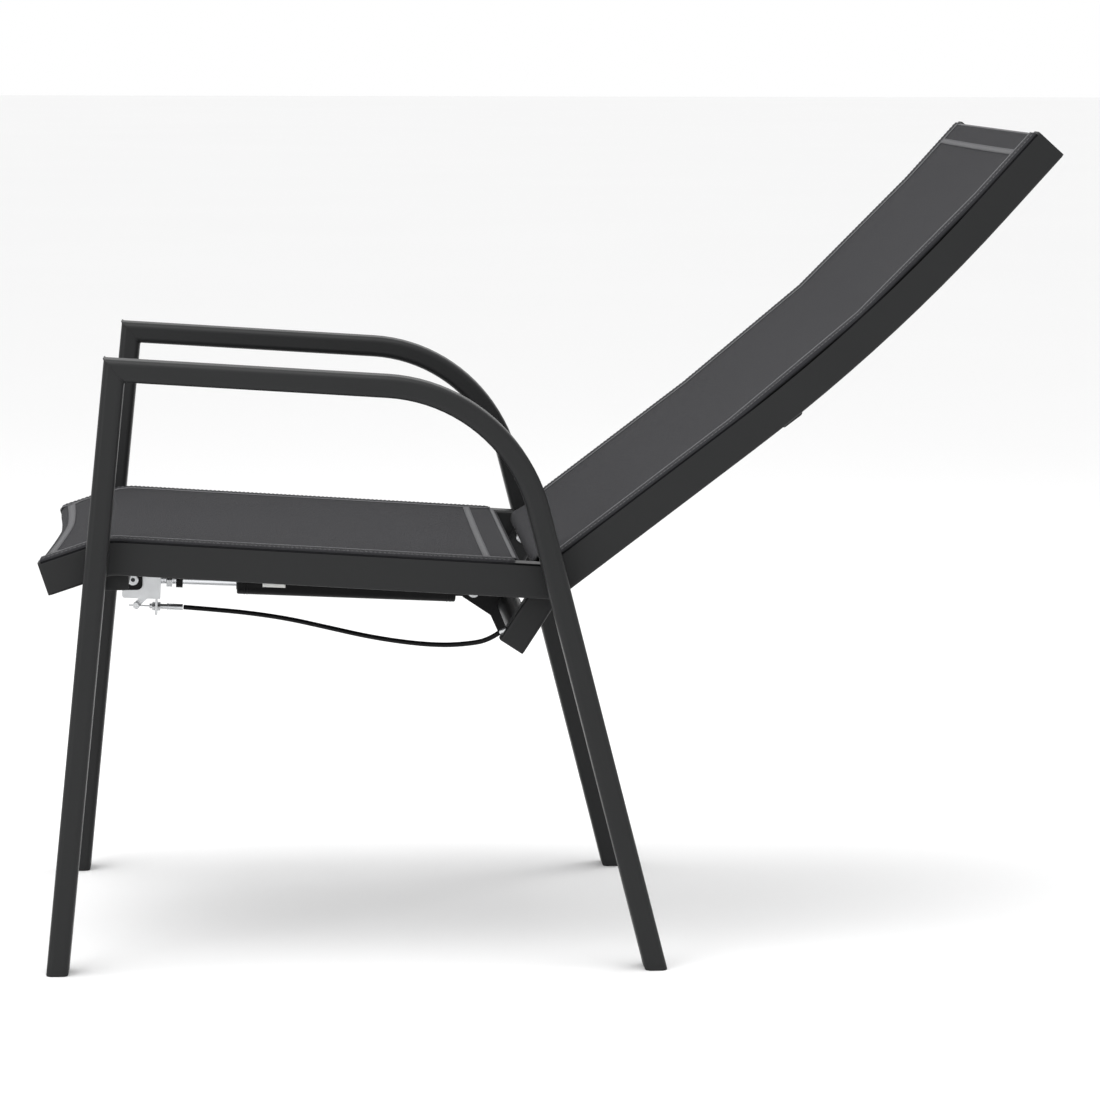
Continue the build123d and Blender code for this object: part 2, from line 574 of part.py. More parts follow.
plate_inner = HEAD_WIDTH / 2 + 2 * FACE_CLEARANCE
with BuildPart() as spring_plate:
    with BuildSketch(side_plane(plate_inner)):
        with Locations((SPRING_TUBE_X - SPRING_TUBE_WIDTH / 2, tube_floor)):
            plate = Rectangle(PLATE_LENGTH, PLATE_DROP, align=(Align.MIN, Align.MAX))
        fillet(plate.vertices().group_by(Axis.Y)[0], radius=PLATE_CORNER)
        with Locations((SPRING_FRONT_X, SPRING_FRONT_Z)):
            Circle(PIN_RADIUS, mode=Mode.SUBTRACT)
    extrude(amount=PLATE_THICKNESS)
save_pair(spring_plate.part, "spring_plate")

with BuildPart() as spring_bolt:
    with BuildSketch(spring_side(-plate_inner - PLATE_THICKNESS)):
        Circle(PIN_RADIUS)
    extrude(amount=2 * (plate_inner + PLATE_THICKNESS))
    with BuildSketch(spring_side(plate_inner + PLATE_THICKNESS)):
        Circle(PIN_RADIUS + PIN_RIM)
    extrude(amount=PIN_HEAD_HEIGHT)
    fillet(spring_bolt.faces().sort_by(Axis.Y)[0].edges(), radius=HEAD_FILLET)
    with BuildSketch(spring_side(-plate_inner - PLATE_THICKNESS)):
        RegularPolygon(PIN_RADIUS + NUT_RIM, 6, major_radius=False)
    extrude(amount=-NUT_HEIGHT)
save(spring_bolt.part, "spring_bolt")

# Release head, rod and cylinder
with BuildPart() as release_head:
    with BuildSketch(spring_side(-HEAD_WIDTH / 2)):
        with Locations((HEAD_START, -HEAD_BOTTOM)):
            head = Rectangle(HEAD_END - HEAD_START, HEAD_TOP + HEAD_BOTTOM, align=(Align.MIN, Align.MIN))
        fillet(head.vertices().group_by(Axis.X)[0], radius=RAIL_CORNER)
        Circle(PIN_RADIUS + RUNNING_CLEARANCE, mode=Mode.SUBTRACT)
    extrude(amount=HEAD_WIDTH)
    with BuildSketch(spring_side(-WIRE_SIDE)):
        with Locations((TAB_START, -TAB_DROP)):
            Rectangle(TAB_THICKNESS, TAB_DROP - HEAD_BOTTOM + 1, align=(Align.MIN, Align.MIN))
    extrude(amount=HEAD_WIDTH / 2 + WIRE_SIDE)
    with BuildSketch(spring_side(-SLOT_WIDTH / 2)):
        with Locations((SLOT_START, -HEAD_BOTTOM - 1)):
            Rectangle(SLOT_END - SLOT_START, HEAD_TOP + HEAD_BOTTOM + 2, align=(Align.MIN, Align.MIN))
            foot_height = HEAD_BOTTOM + 1 + SLOT_FOOT_TOP
            Rectangle(SLOT_FOOT_END - SLOT_START, foot_height, align=(Align.MIN, Align.MIN))
    extrude(amount=SLOT_WIDTH, mode=Mode.SUBTRACT)
    with BuildSketch(spring_side(-HEAD_WIDTH / 2)):
        with Locations((PIVOT_STATION, PIVOT_HEIGHT)):
            Circle(PIVOT_RADIUS)
    extrude(amount=HEAD_WIDTH, mode=Mode.SUBTRACT)
    with BuildSketch(spring_plane(ROD_START)):
        Circle(ROD_RADIUS)
    extrude(amount=HEAD_END - ROD_START + 1, mode=Mode.SUBTRACT)
    with BuildSketch(spring_plane(SLOT_END - 1)):
        Circle(RELEASE_PIN_RADIUS + RUNNING_CLEARANCE)
    extrude(amount=ROD_START - SLOT_END + 2, mode=Mode.SUBTRACT)
    with BuildSketch(spring_plane(TAB_START - 1, WIRE_HEIGHT, WIRE_SIDE)):
        Circle(ADJUSTER_RADIUS)
    extrude(amount=TAB_THICKNESS + 2, mode=Mode.SUBTRACT)
save(release_head.part, "release_head")

with BuildPart() as pivot_pin:
    with BuildSketch(spring_side(-HEAD_WIDTH / 2)):
        with Locations((PIVOT_STATION, PIVOT_HEIGHT)):
            Circle(PIVOT_RADIUS)
    extrude(amount=HEAD_WIDTH)
save(pivot_pin.part, "release_pivot_pin")

with BuildPart() as spring_rod:
    with BuildSketch(spring_plane(ROD_START)):
        Circle(ROD_RADIUS)
    extrude(amount=ROD_END - ROD_START)
    with BuildSketch(spring_plane(ROD_START)):
        Circle(RELEASE_PIN_RADIUS + FACE_CLEARANCE)
    extrude(amount=RELEASE_PIN_END - ROD_START + 4, mode=Mode.SUBTRACT)
save(spring_rod.part, "spring_rod")

with BuildPart() as locknut:
    with BuildSketch(spring_plane(LOCKNUT_START)):
        RegularPolygon(LOCKNUT_FLATS / 2, 6, major_radius=False)
        Circle(ROD_RADIUS, mode=Mode.SUBTRACT)
    extrude(amount=LOCKNUT_LENGTH)
save(locknut.part, "spring_locknut")

with BuildPart() as buffer:
    with BuildSketch(spring_plane(BUFFER_START)):
        Circle(BUFFER_RADIUS)
        Circle(ROD_RADIUS, mode=Mode.SUBTRACT)
    extrude(amount=BUFFER_LENGTH)
save(buffer.part, "spring_buffer")

with BuildPart() as cylinder:
    with BuildSketch(spring_plane(CYLINDER_START)):
        Circle(CYLINDER_RADIUS)
    extrude(amount=CYLINDER_END - CYLINDER_START)
    fillet(cylinder.edges().filter_by(GeomType.CIRCLE), radius=2)
    with BuildSketch(spring_plane(CYLINDER_START)):
        Circle(ROD_RADIUS + RUNNING_CLEARANCE)
    extrude(amount=CYLINDER_END - CYLINDER_START - BUFFER_LENGTH, mode=Mode.SUBTRACT)
    with BuildSketch(spring_plane(CYLINDER_START + BUFFER_LENGTH)):
        Circle(CYLINDER_RADIUS - CYLINDER_WALL)
    extrude(amount=CYLINDER_END - CYLINDER_START - 2 * BUFFER_LENGTH, mode=Mode.SUBTRACT)
save(cylinder.part, "spring_cylinder")

with BuildPart() as spring_eye:
    with BuildSketch(spring_side(-EYE_WIDTH / 2)):
        with Locations((spring_length, 0)):
            Circle(EYE_RADIUS)
        with Locations((CYLINDER_END, 0)):
            Rectangle(spring_length - CYLINDER_END, EYE_RADIUS, align=(Align.MIN, Align.CENTER))
        with Locations((spring_length, 0)):
            Circle(PIN_RADIUS + EYE_PLAY, mode=Mode.SUBTRACT)
    extrude(amount=EYE_WIDTH)
    split(bisect_by=spring_plane(CYLINDER_END), keep=Keep.TOP)
save(spring_eye.part, "spring_eye")

# Plates on the spring bar that carry the rear pin
rear_plate_inner = EYE_WIDTH / 2 + 2 * FACE_CLEARANCE
with BuildPart() as rear_plate:
    with BuildSketch(side_plane(rear_plate_inner)):
        with BuildLine():
            Polyline(
                *[(SPRING_REAR_X + along, SPRING_REAR_Z + up) for along, up in REAR_PLATE_OUTLINE],
                close=True,
            )
        make_face()
        fillet(vertices(), radius=RAIL_CORNER)
        with Locations((SPRING_REAR_X, SPRING_REAR_Z)):
            Circle(PIN_RADIUS, mode=Mode.SUBTRACT)
        with Locations((spring_bar.X, spring_bar.Z)):
            Circle(SPRING_BAR_RADIUS, mode=Mode.SUBTRACT)
    extrude(amount=PLATE_THICKNESS)
save_pair(rear_plate.part, "rear_plate")

pin_reach = rear_plate_inner + PLATE_THICKNESS
with BuildPart() as rear_pin:
    with BuildSketch(Plane(origin=side(spring_rear, -pin_reach), x_dir=(1, 0, 0), z_dir=(0, -1, 0))):
        Circle(PIN_RADIUS)
    extrude(amount=2 * pin_reach)
    with BuildSketch(Plane(origin=side(spring_rear, pin_reach), x_dir=(1, 0, 0), z_dir=(0, -1, 0))):
        Circle(PIN_RADIUS + PIN_RIM)
    extrude(amount=PIN_HEAD_HEIGHT)
    with BuildSketch(Plane(origin=side(spring_rear, -pin_reach), x_dir=(1, 0, 0), z_dir=(0, 1, 0))):
        Circle(PIN_RADIUS + PIN_RIM)
    extrude(amount=PIN_HEAD_HEIGHT)
save(rear_pin.part, "spring_rear_pin")

# Release arm, clamp, wire and pin
with BuildPart() as release_arm:
    with BuildSketch(spring_side(-RELEASE_ARM_THICKNESS / 2)):
        with BuildLine():
            Polyline(
                (PIVOT_STATION, PIVOT_HEIGHT),
                (PIVOT_STATION, ARM_KNEE_HEIGHT),
                (CLAMP_STATION, WIRE_HEIGHT),
            )
            offset(amount=RELEASE_ARM_WIDTH / 2)
        make_face()
        with Locations((PIVOT_STATION, PIVOT_HEIGHT)):
            Circle(PIVOT_RADIUS + RUNNING_CLEARANCE, mode=Mode.SUBTRACT)
    extrude(amount=RELEASE_ARM_THICKNESS)
save(release_arm.part, "release_arm")

with BuildPart() as wire_clamp:
    with BuildSketch(spring_side(RELEASE_ARM_THICKNESS / 2)):
        with Locations((CLAMP_STATION, WIRE_HEIGHT)):
            Circle(CLAMP_RADIUS)
    extrude(amount=CLAMP_LENGTH - RELEASE_ARM_THICKNESS)
    chamfer(wire_clamp.faces().sort_by(Axis.Y)[0].edges(), length=0.6)
    with BuildSketch(spring_plane(CLAMP_STATION - CLAMP_RADIUS - 1, WIRE_HEIGHT, WIRE_SIDE)):
        Circle(WIRE_RADIUS)
    extrude(amount=2 * CLAMP_RADIUS + 2, mode=Mode.SUBTRACT)
save(wire_clamp.part, "wire_clamp")

with BuildPart() as inner_wire:
    with BuildSketch(spring_plane(CLAMP_STATION - CLAMP_RADIUS - WIRE_TAIL, WIRE_HEIGHT, WIRE_SIDE)):
        Circle(WIRE_RADIUS)
    extrude(amount=ADJUSTER_START + WIRE_IN_ADJUSTER - CLAMP_STATION + CLAMP_RADIUS + WIRE_TAIL)
save(inner_wire.part, "inner_wire")

pin_start = PIVOT_STATION + RELEASE_ARM_WIDTH / 2 + FACE_CLEARANCE
with BuildPart() as release_pin:
    with BuildSketch(spring_plane(pin_start)):
        Circle(RELEASE_PIN_RADIUS)
    extrude(amount=RELEASE_PIN_END - pin_start)
save(release_pin.part, "release_pin")

# Cable: adjuster with two nuts, ferrule, housing and entry ferrule
with BuildPart() as adjuster:
    with BuildSketch(spring_plane(ADJUSTER_START, WIRE_HEIGHT, WIRE_SIDE)):
        Circle(ADJUSTER_RADIUS)
        Circle(ADJUSTER_BORE, mode=Mode.SUBTRACT)
    extrude(amount=ADJUSTER_END - ADJUSTER_START)
save(adjuster.part, "cable_adjuster")

with BuildPart() as adjuster_nuts:
    for nut_start in (TAB_START - ADJUSTER_NUT_LENGTH, TAB_START + TAB_THICKNESS):
        with BuildSketch(spring_plane(nut_start, WIRE_HEIGHT, WIRE_SIDE)):
            RegularPolygon(ADJUSTER_NUT_FLATS / 2, 6, major_radius=False)
            Circle(ADJUSTER_RADIUS, mode=Mode.SUBTRACT)
        extrude(amount=ADJUSTER_NUT_LENGTH)
save(adjuster_nuts.part, "adjuster_nuts")

with BuildPart() as ferrule:
    with BuildSketch(spring_plane(ADJUSTER_END, WIRE_HEIGHT, WIRE_SIDE)):
        Circle(FERRULE_RADIUS)
    extrude(amount=FERRULE_END - ADJUSTER_END)
    fillet(ferrule.faces().sort_by(Axis.X)[0].edges(), radius=1)
save(ferrule.part, "cable_ferrule")

housing_start = spring_plane(FERRULE_END + HOUSING_GAP, WIRE_HEIGHT, WIRE_SIDE).origin
housing_end = entry_start - entry_heading * HOUSING_GAP
route = [housing_start, *[Vector(*point) for point in CABLE_ROUTE], housing_end]
runs = [after - before for before, after in zip(route, route[1:])]
turns = [radians(first.get_angle(second)) for first, second in zip(runs, runs[1:])]
bends = [
    0.45 * min(first.length, second.length) / (sin(turn / 2) / cos(turn / 2))
    for first, second, turn in zip(runs, runs[1:], turns)
]
with BuildLine():
    housing_line = FilletPolyline(*route, radius=bends)
with BuildPart() as cable_housing:
    with BuildSketch(Plane(origin=housing_start, z_dir=housing_line % 0)):
        Circle(HOUSING_RADIUS)
    sweep(path=housing_line)
save(cable_housing.part, "cable_housing")
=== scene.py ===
"""Looks of a reclining garden armchair with a sling seat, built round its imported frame."""

import json
import logging
import math
from dataclasses import dataclass, field
from enum import Enum

import bmesh
import bpy
from mathutils import Matrix, Vector


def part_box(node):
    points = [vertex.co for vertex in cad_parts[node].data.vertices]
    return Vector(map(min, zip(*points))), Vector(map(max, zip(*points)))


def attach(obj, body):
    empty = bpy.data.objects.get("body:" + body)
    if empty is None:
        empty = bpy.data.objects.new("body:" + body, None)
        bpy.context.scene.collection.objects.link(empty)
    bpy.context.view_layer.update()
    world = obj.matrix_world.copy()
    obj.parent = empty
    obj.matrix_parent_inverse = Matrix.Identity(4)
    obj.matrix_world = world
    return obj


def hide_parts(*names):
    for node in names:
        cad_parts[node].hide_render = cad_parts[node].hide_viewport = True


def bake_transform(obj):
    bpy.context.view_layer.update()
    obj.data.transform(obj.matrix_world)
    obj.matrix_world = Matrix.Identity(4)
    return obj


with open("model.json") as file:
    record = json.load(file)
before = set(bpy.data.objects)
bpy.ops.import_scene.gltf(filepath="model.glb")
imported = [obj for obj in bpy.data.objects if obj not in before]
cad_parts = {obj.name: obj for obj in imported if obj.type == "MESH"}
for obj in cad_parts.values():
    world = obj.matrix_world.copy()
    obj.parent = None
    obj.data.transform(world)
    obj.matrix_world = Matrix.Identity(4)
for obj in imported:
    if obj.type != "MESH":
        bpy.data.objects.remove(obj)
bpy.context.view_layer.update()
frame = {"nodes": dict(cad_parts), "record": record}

LOG = logging.getLogger("chair")
ACROSS = Vector((0.0, 1.0, 0.0))
Colour = tuple[float, float, float]
Groups = dict[str, bpy.types.NodeTree]

HINGE = Vector((-0.002, 0.0, 0.381))
SEAT_FRONT_BAR = Vector((-0.478, 0.0, 0.409))
SEAT_REAR_BAR = Vector((-0.042, 0.0, 0.394))
SLEEVE_BAR = Vector((-0.005, 0.0, 0.402))
BACK_ANGLE = 37.2
RAIL_WIDTH = 0.028
ROW_STEP = 0.006
COLUMN_STEP = 0.012
LEAST_ROW = 0.0002
SLIT = 0.0008
TAPE_STEP = 0.0035
PIPING_STEP = 0.001
TAPE_HEIGHT = 0.0007
PIPING_HEIGHT = 0.0006
STITCH_LIFT = 0.0021
"""Places and sizes that more than one piece shares, in metres and degrees."""


class Body(Enum):
    """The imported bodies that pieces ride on."""

    FRAME = "frame"
    BACK = "back"
    STRUT = "strut"
    CYLINDER = "strut_cylinder"


def heading(angle: float) -> Vector:
    """A unit vector in side view.

    Args:
        angle: Degrees above the rearward direction.

    Returns:
        The vector, with no part across the chair.
    """
    return Vector((math.cos(math.radians(angle)), 0.0, math.sin(math.radians(angle))))


def beside(point: Vector, angle: float, distance: float) -> Vector:
    """The point at a distance to the left of a heading.

    Args:
        point: Where to start.
        angle: The heading in degrees.
        distance: How far to its left, in metres.

    Returns:
        The new point.
    """
    return point + heading(angle + 90) * distance


def meet(start: Vector, angle: float, other: Vector, other_angle: float) -> Vector:
    """Where two lines in side view cross.

    Args:
        start: A point on the first line.
        angle: The first line's heading in degrees.
        other: A point on the second line.
        other_angle: The second line's heading in degrees.

    Returns:
        The crossing point.
    """
    across = heading(other_angle + 90)
    return start + heading(angle) * ((other - start).dot(across) / heading(angle).dot(across))


def smooth_step(value: float) -> float:
    """A smooth rise from 0 to 1 as the value goes from 0 to 1."""
    value = min(max(value, 0.0), 1.0)
    return value * value * (3.0 - 2.0 * value)


# Finishes


def new_group(
    name: str, inputs: dict[str, tuple[str, object]], outputs: dict[str, str]
) -> bpy.types.NodeTree:
    """A shader node group with named sockets.

    Args:
        name: The group's name.
        inputs: Socket name to its type and default.
        outputs: Socket name to its type.

    Returns:
        The group, with its input and output nodes in place.
    """
    group = bpy.data.node_groups.new(name, "ShaderNodeTree")
    for label, (kind, default) in inputs.items():
        socket = group.interface.new_socket(label, in_out="INPUT", socket_type=kind)
        if default is not None:
            socket.default_value = default
    for label, kind in outputs.items():
        group.interface.new_socket(label, in_out="OUTPUT", socket_type=kind)
    group.nodes.new("NodeGroupInput")
    group.nodes.new("NodeGroupOutput")
    return group


def maths(tree: bpy.types.NodeTree, operation: str, first: object, second: object = None) -> object:
    """One Math node.

    Args:
        tree: The node tree.
        operation: The Math node's operation.
        first: A socket or a number.
        second: A socket or a number, where the operation has one.

    Returns:
        The node's output socket.
    """
    node = tree.nodes.new("ShaderNodeMath")
    node.operation = operation
    for socket, value in zip(node.inputs, (first, second)):
        if isinstance(value, (int, float)):
            socket.default_value = value
        elif value is not None:
            tree.links.new(value, socket)
    return node.outputs[0]


def noise(tree: bpy.types.NodeTree, vector: object, scale: object, detail: float = 2.0) -> object:
    """One Noise Texture node.

    Args:
        tree: The node tree.
        vector: The socket that the noise reads.
        scale: A socket or a number, in cycles per metre.
        detail: How many octaves.

    Returns:
        The noise's value socket.
    """
    node = tree.nodes.new("ShaderNodeTexNoise")
    node.inputs["Detail"].default_value = detail
    tree.links.new(vector, node.inputs["Vector"])
    if isinstance(scale, (int, float)):
        node.inputs["Scale"].default_value = scale
    else:
        tree.links.new(scale, node.inputs["Scale"])
    return node.outputs[0]


def drift_group() -> bpy.types.NodeTree:
    """The group that drifts a colour and a roughness over a surface.

    Returns:
        The group.
    """
    group = new_group(
        "Drift",
        {
            "Vector": ("NodeSocketVector", None),
            "Colour": ("NodeSocketColor", (0.5, 0.5, 0.5, 1.0)),
            "Size": ("NodeSocketFloat", 8.0),
            "Amount": ("NodeSocketFloat", 0.1),
            "Roughness": ("NodeSocketFloat", 0.5),
        },
        {"Colour": "NodeSocketColor", "Roughness": "NodeSocketFloat"},
    )
    given, made = group.nodes[0], group.nodes[1]
    cloud = noise(group, given.outputs["Vector"], given.outputs["Size"], 4.0)
    swing = maths(group, "MULTIPLY", maths(group, "SUBTRACT", cloud, 0.5), given.outputs["Amount"])
    shade = group.nodes.new("ShaderNodeHueSaturation")
    group.links.new(given.outputs["Colour"], shade.inputs["Color"])
    group.links.new(maths(group, "ADD", maths(group, "MULTIPLY", swing, 2.0), 1.0), shade.inputs["Value"])
    group.links.new(shade.outputs[0], made.inputs["Colour"])
    group.links.new(maths(group, "ADD", swing, given.outputs["Roughness"]), made.inputs["Roughness"])
    return group


def grain_group() -> bpy.types.NodeTree:
    """The group that gives a fine and a coarse surface grain as a height.

    Returns:
        The group.
    """
    group = new_group(
        "Grain",
        {
            "Vector": ("NodeSocketVector", None),
            "Fine": ("NodeSocketFloat", 900.0),
            "Coarse": ("NodeSocketFloat", 120.0),
        },
        {"Height": "NodeSocketFloat"},
    )
    given, made = group.nodes[0], group.nodes[1]
    fine = noise(group, given.outputs["Vector"], given.outputs["Fine"], 1.0)
    coarse = noise(group, given.outputs["Vector"], given.outputs["Coarse"], 2.0)
    group.links.new(maths(group, "ADD", fine, maths(group, "MULTIPLY", coarse, 0.6)), made.inputs["Height"])
    return group


def weave_group() -> bpy.types.NodeTree:
    """The group of a plain mesh weave, with warp and weft that pass over each other.

    Returns:
        The group, which gives a height and a mask that is 1 on the warp threads.
    """
    group = new_group(
        "Weave",
        {"Vector": ("NodeSocketVector", None), "Threads": ("NodeSocketFloat", 700.0)},
        {"Height": "NodeSocketFloat", "Warp": "NodeSocketFloat", "Streak": "NodeSocketFloat"},
    )
    given, made = group.nodes[0], group.nodes[1]
    split = group.nodes.new("ShaderNodeSeparateXYZ")
    group.links.new(given.outputs["Vector"], split.inputs[0])
    turns = maths(group, "MULTIPLY", given.outputs["Threads"], 2.0 * math.pi)
    warp = maths(group, "SINE", maths(group, "MULTIPLY", split.outputs[0], turns))
    weft = maths(group, "SINE", maths(group, "MULTIPLY", split.outputs[1], turns))
    crossing = maths(group, "MULTIPLY", warp, weft)
    rounded = maths(group, "ADD", maths(group, "ABSOLUTE", warp), maths(group, "ABSOLUTE", weft))
    height = maths(group, "ADD", maths(group, "MULTIPLY", crossing, 0.4), rounded)
    group.links.new(height, made.inputs["Height"])
    group.links.new(maths(group, "ADD", maths(group, "MULTIPLY", crossing, 0.5), 0.5), made.inputs["Warp"])
    stretch = group.nodes.new("ShaderNodeVectorMath")
    stretch.operation = "MULTIPLY"
    stretch.inputs[1].default_value = (900.0, 14.0, 1.0)
    group.links.new(given.outputs["Vector"], stretch.inputs[0])
    group.links.new(noise(group, stretch.outputs[0], 1.0, 2.0), made.inputs["Streak"])
    return group


@dataclass(frozen=True)
class Finish:
    """A finish of one colour with a drift and a grain, read from object coordinates."""

    name: str
    colour: Colour
    roughness: float
    metallic: float = 0.0
    coat: float = 0.0
    drift_size: float = 9.0
    drift: float = 0.12
    fine: float = 900.0
    coarse: float = 120.0
    depth: float = 0.00006
    specular: float = 0.3

    def surface(self, tree: bpy.types.NodeTree) -> object:
        """The socket that the finish reads its places from."""
        return tree.nodes.new("ShaderNodeTexCoord").outputs["Object"]

    def placed(self, tree: bpy.types.NodeTree, group: bpy.types.NodeTree, vector: object) -> bpy.types.Node:
        """A node group placed in the material.

        Args:
            tree: The material's node tree.
            group: The group to place.
            vector: The socket for its Vector input.

        Returns:
            The group's node.
        """
        node = tree.nodes.new("ShaderNodeGroup")
        node.node_tree = group
        tree.links.new(vector, node.inputs["Vector"])
        return node

    def height(self, tree: bpy.types.NodeTree, groups: Groups, vector: object) -> object:
        """The height of the surface grain.

        Args:
            tree: The material's node tree.
            groups: The shared groups by name.
            vector: The place socket.

        Returns:
            The height socket.
        """
        grain = self.placed(tree, groups["Grain"], vector)
        grain.inputs["Fine"].default_value = self.fine
        grain.inputs["Coarse"].default_value = self.coarse
        return grain.outputs["Height"]

    def coloured(self, tree: bpy.types.NodeTree, groups: Groups, vector: object) -> tuple:
        """The colour and roughness sockets.

        Args:
            tree: The material's node tree.
            groups: The shared groups by name.
            vector: The place socket.

        Returns:
            The colour socket and the roughness socket.
        """
        drift = self.placed(tree, groups["Drift"], vector)
        drift.inputs["Colour"].default_value = (*self.colour, 1.0)
        drift.inputs["Size"].default_value = self.drift_size
        drift.inputs["Amount"].default_value = self.drift
        drift.inputs["Roughness"].default_value = self.roughness
        return drift.outputs["Colour"], drift.outputs["Roughness"]

    def material(self, groups: Groups) -> bpy.types.Material:
        """The finish as a material.

        Args:
            groups: The shared groups by name.

        Returns:
            The material.
        """
        material = bpy.data.materials.new(self.name)
        material.use_nodes = True
        material.diffuse_color = (*self.colour, 1.0)
        tree = material.node_tree
        shader = tree.nodes["Principled BSDF"]
        shader.inputs["Metallic"].default_value = self.metallic
        shader.inputs["Coat Weight"].default_value = self.coat
        shader.inputs["Specular IOR Level"].default_value = self.specular
        vector = self.surface(tree)
        colour, roughness = self.coloured(tree, groups, vector)
        tree.links.new(colour, shader.inputs["Base Color"])
        tree.links.new(roughness, shader.inputs["Roughness"])
        bump = tree.nodes.new("ShaderNodeBump")
        bump.inputs["Strength"].default_value = 1.0
        bump.inputs["Distance"].default_value = self.depth
        tree.links.new(self.height(tree, groups, vector), bump.inputs["Height"])
        tree.links.new(bump.outputs[0], shader.inputs["Normal"])
        self.dress(shader)
        return material

    def dress(self, shader: bpy.types.Node) -> None:
        """Values on the shader's own sockets that only some finishes have."""


@dataclass(frozen=True)
class Woven(Finish):
    """A woven finish that follows the cloth's own measure, in metres."""

    threads: float = 640.0
    streak: float = 0.35
    sheen: float = 0.02

    def surface(self, tree: bpy.types.NodeTree) -> object:
        """The socket of the cloth's own measure."""
        node = tree.nodes.new("ShaderNodeUVMap")
        node.uv_map = "Cloth"
        return node.outputs[0]

    def height(self, tree: bpy.types.NodeTree, groups: Groups, vector: object) -> object:
        """The height of the weave."""
        weave = self.placed(tree, groups["Weave"], vector)
        weave.inputs["Threads"].default_value = self.threads
        return weave.outputs["Height"]

    def coloured(self, tree: bpy.types.NodeTree, groups: Groups, vector: object) -> tuple:
        """The cloth's colour, with streaks along the warp, and its roughness."""
        colour, roughness = super().coloured(tree, groups, vector)
        weave = self.placed(tree, groups["Weave"], vector)
        weave.inputs["Threads"].default_value = self.threads
        streak = maths(tree, "MULTIPLY", maths(tree, "SUBTRACT", weave.outputs["Streak"], 0.5), self.streak)
        lift = maths(tree, "MULTIPLY", maths(tree, "SUBTRACT", weave.outputs["Warp"], 0.5), 0.25)
        shade = tree.nodes.new("ShaderNodeHueSaturation")
        tree.links.new(colour, shade.inputs["Color"])
        tree.links.new(maths(tree, "ADD", maths(tree, "ADD", streak, lift), 1.0), shade.inputs["Value"])
        return shade.outputs[0], roughness

    def dress(self, shader: bpy.types.Node) -> None:
        """The cloth's sheen."""
        shader.inputs["Sheen Weight"].default_value = self.sheen
        shader.inputs["Sheen Roughness"].default_value = 0.5


FINISHES = {
    "powder_coat": Finish(
        "powder_coat", (0.0120, 0.0124, 0.0128), 0.45, specular=0.22, fine=1500.0, coarse=260.0, depth=0.00004
    ),
    "sling_fabric": Woven(
        "sling_fabric", (0.0200, 0.0198, 0.0228), 0.8, specular=0.2, drift=0.06, drift_size=14.0, depth=0.00022
    ),
    "cap_plastic": Finish(
        "cap_plastic", (0.0125, 0.0128, 0.0132), 0.55, specular=0.22, fine=2200.0, coarse=400.0, depth=0.00003
    ),
    # Also used for the painted shade in the bolt heads' hex sockets.
    "welt_plastic": Finish("welt_plastic", (0.016, 0.016, 0.018), 0.6),
    "black_plastic": Finish(
        "black_plastic", (0.003, 0.003, 0.0033), 0.42, specular=0.12, drift=0.1, drift_size=40.0
    ),
    "nylon": Finish("nylon", (0.50, 0.49, 0.46), 0.5, drift=0.05),
    "chrome_rod": Finish("chrome_rod", (0.62, 0.63, 0.65), 0.12, 1.0, drift=0.04, depth=0.00001),
    "cylinder_enamel": Finish(
        "cylinder_enamel", (0.003, 0.003, 0.0033), 0.42, specular=0.1, drift=0.08, depth=0.00003
    ),
    "bracket_enamel": Finish(
        "bracket_enamel", (0.005, 0.005, 0.0054), 0.45, specular=0.12, drift=0.1, depth=0.00005
    ),
    "zinc_steel": Finish("zinc_steel", (0.56, 0.57, 0.58), 0.34, 1.0, drift=0.22, drift_size=60.0, fine=2600.0),
    "tape": Woven("tape", (0.10, 0.10, 0.105), 0.7, drift=0.08, threads=900.0, streak=0.2, depth=0.0001),
    # Stitches, and also the painted highlight strips along the hems' inner edges.
    "thread": Finish("thread", (0.12, 0.12, 0.125), 0.7, drift=0.1, fine=3000.0, coarse=900.0, depth=0.00005),
    "label": Finish("label", (0.75, 0.75, 0.73), 0.5, drift=0.04, drift_size=60.0, depth=0.00002),
    "floor": Finish("floor", (0.93, 0.93, 0.93), 0.9, drift=0.01, drift_size=0.5, depth=0.0001),
}
"""Every finish by name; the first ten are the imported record's own slots."""


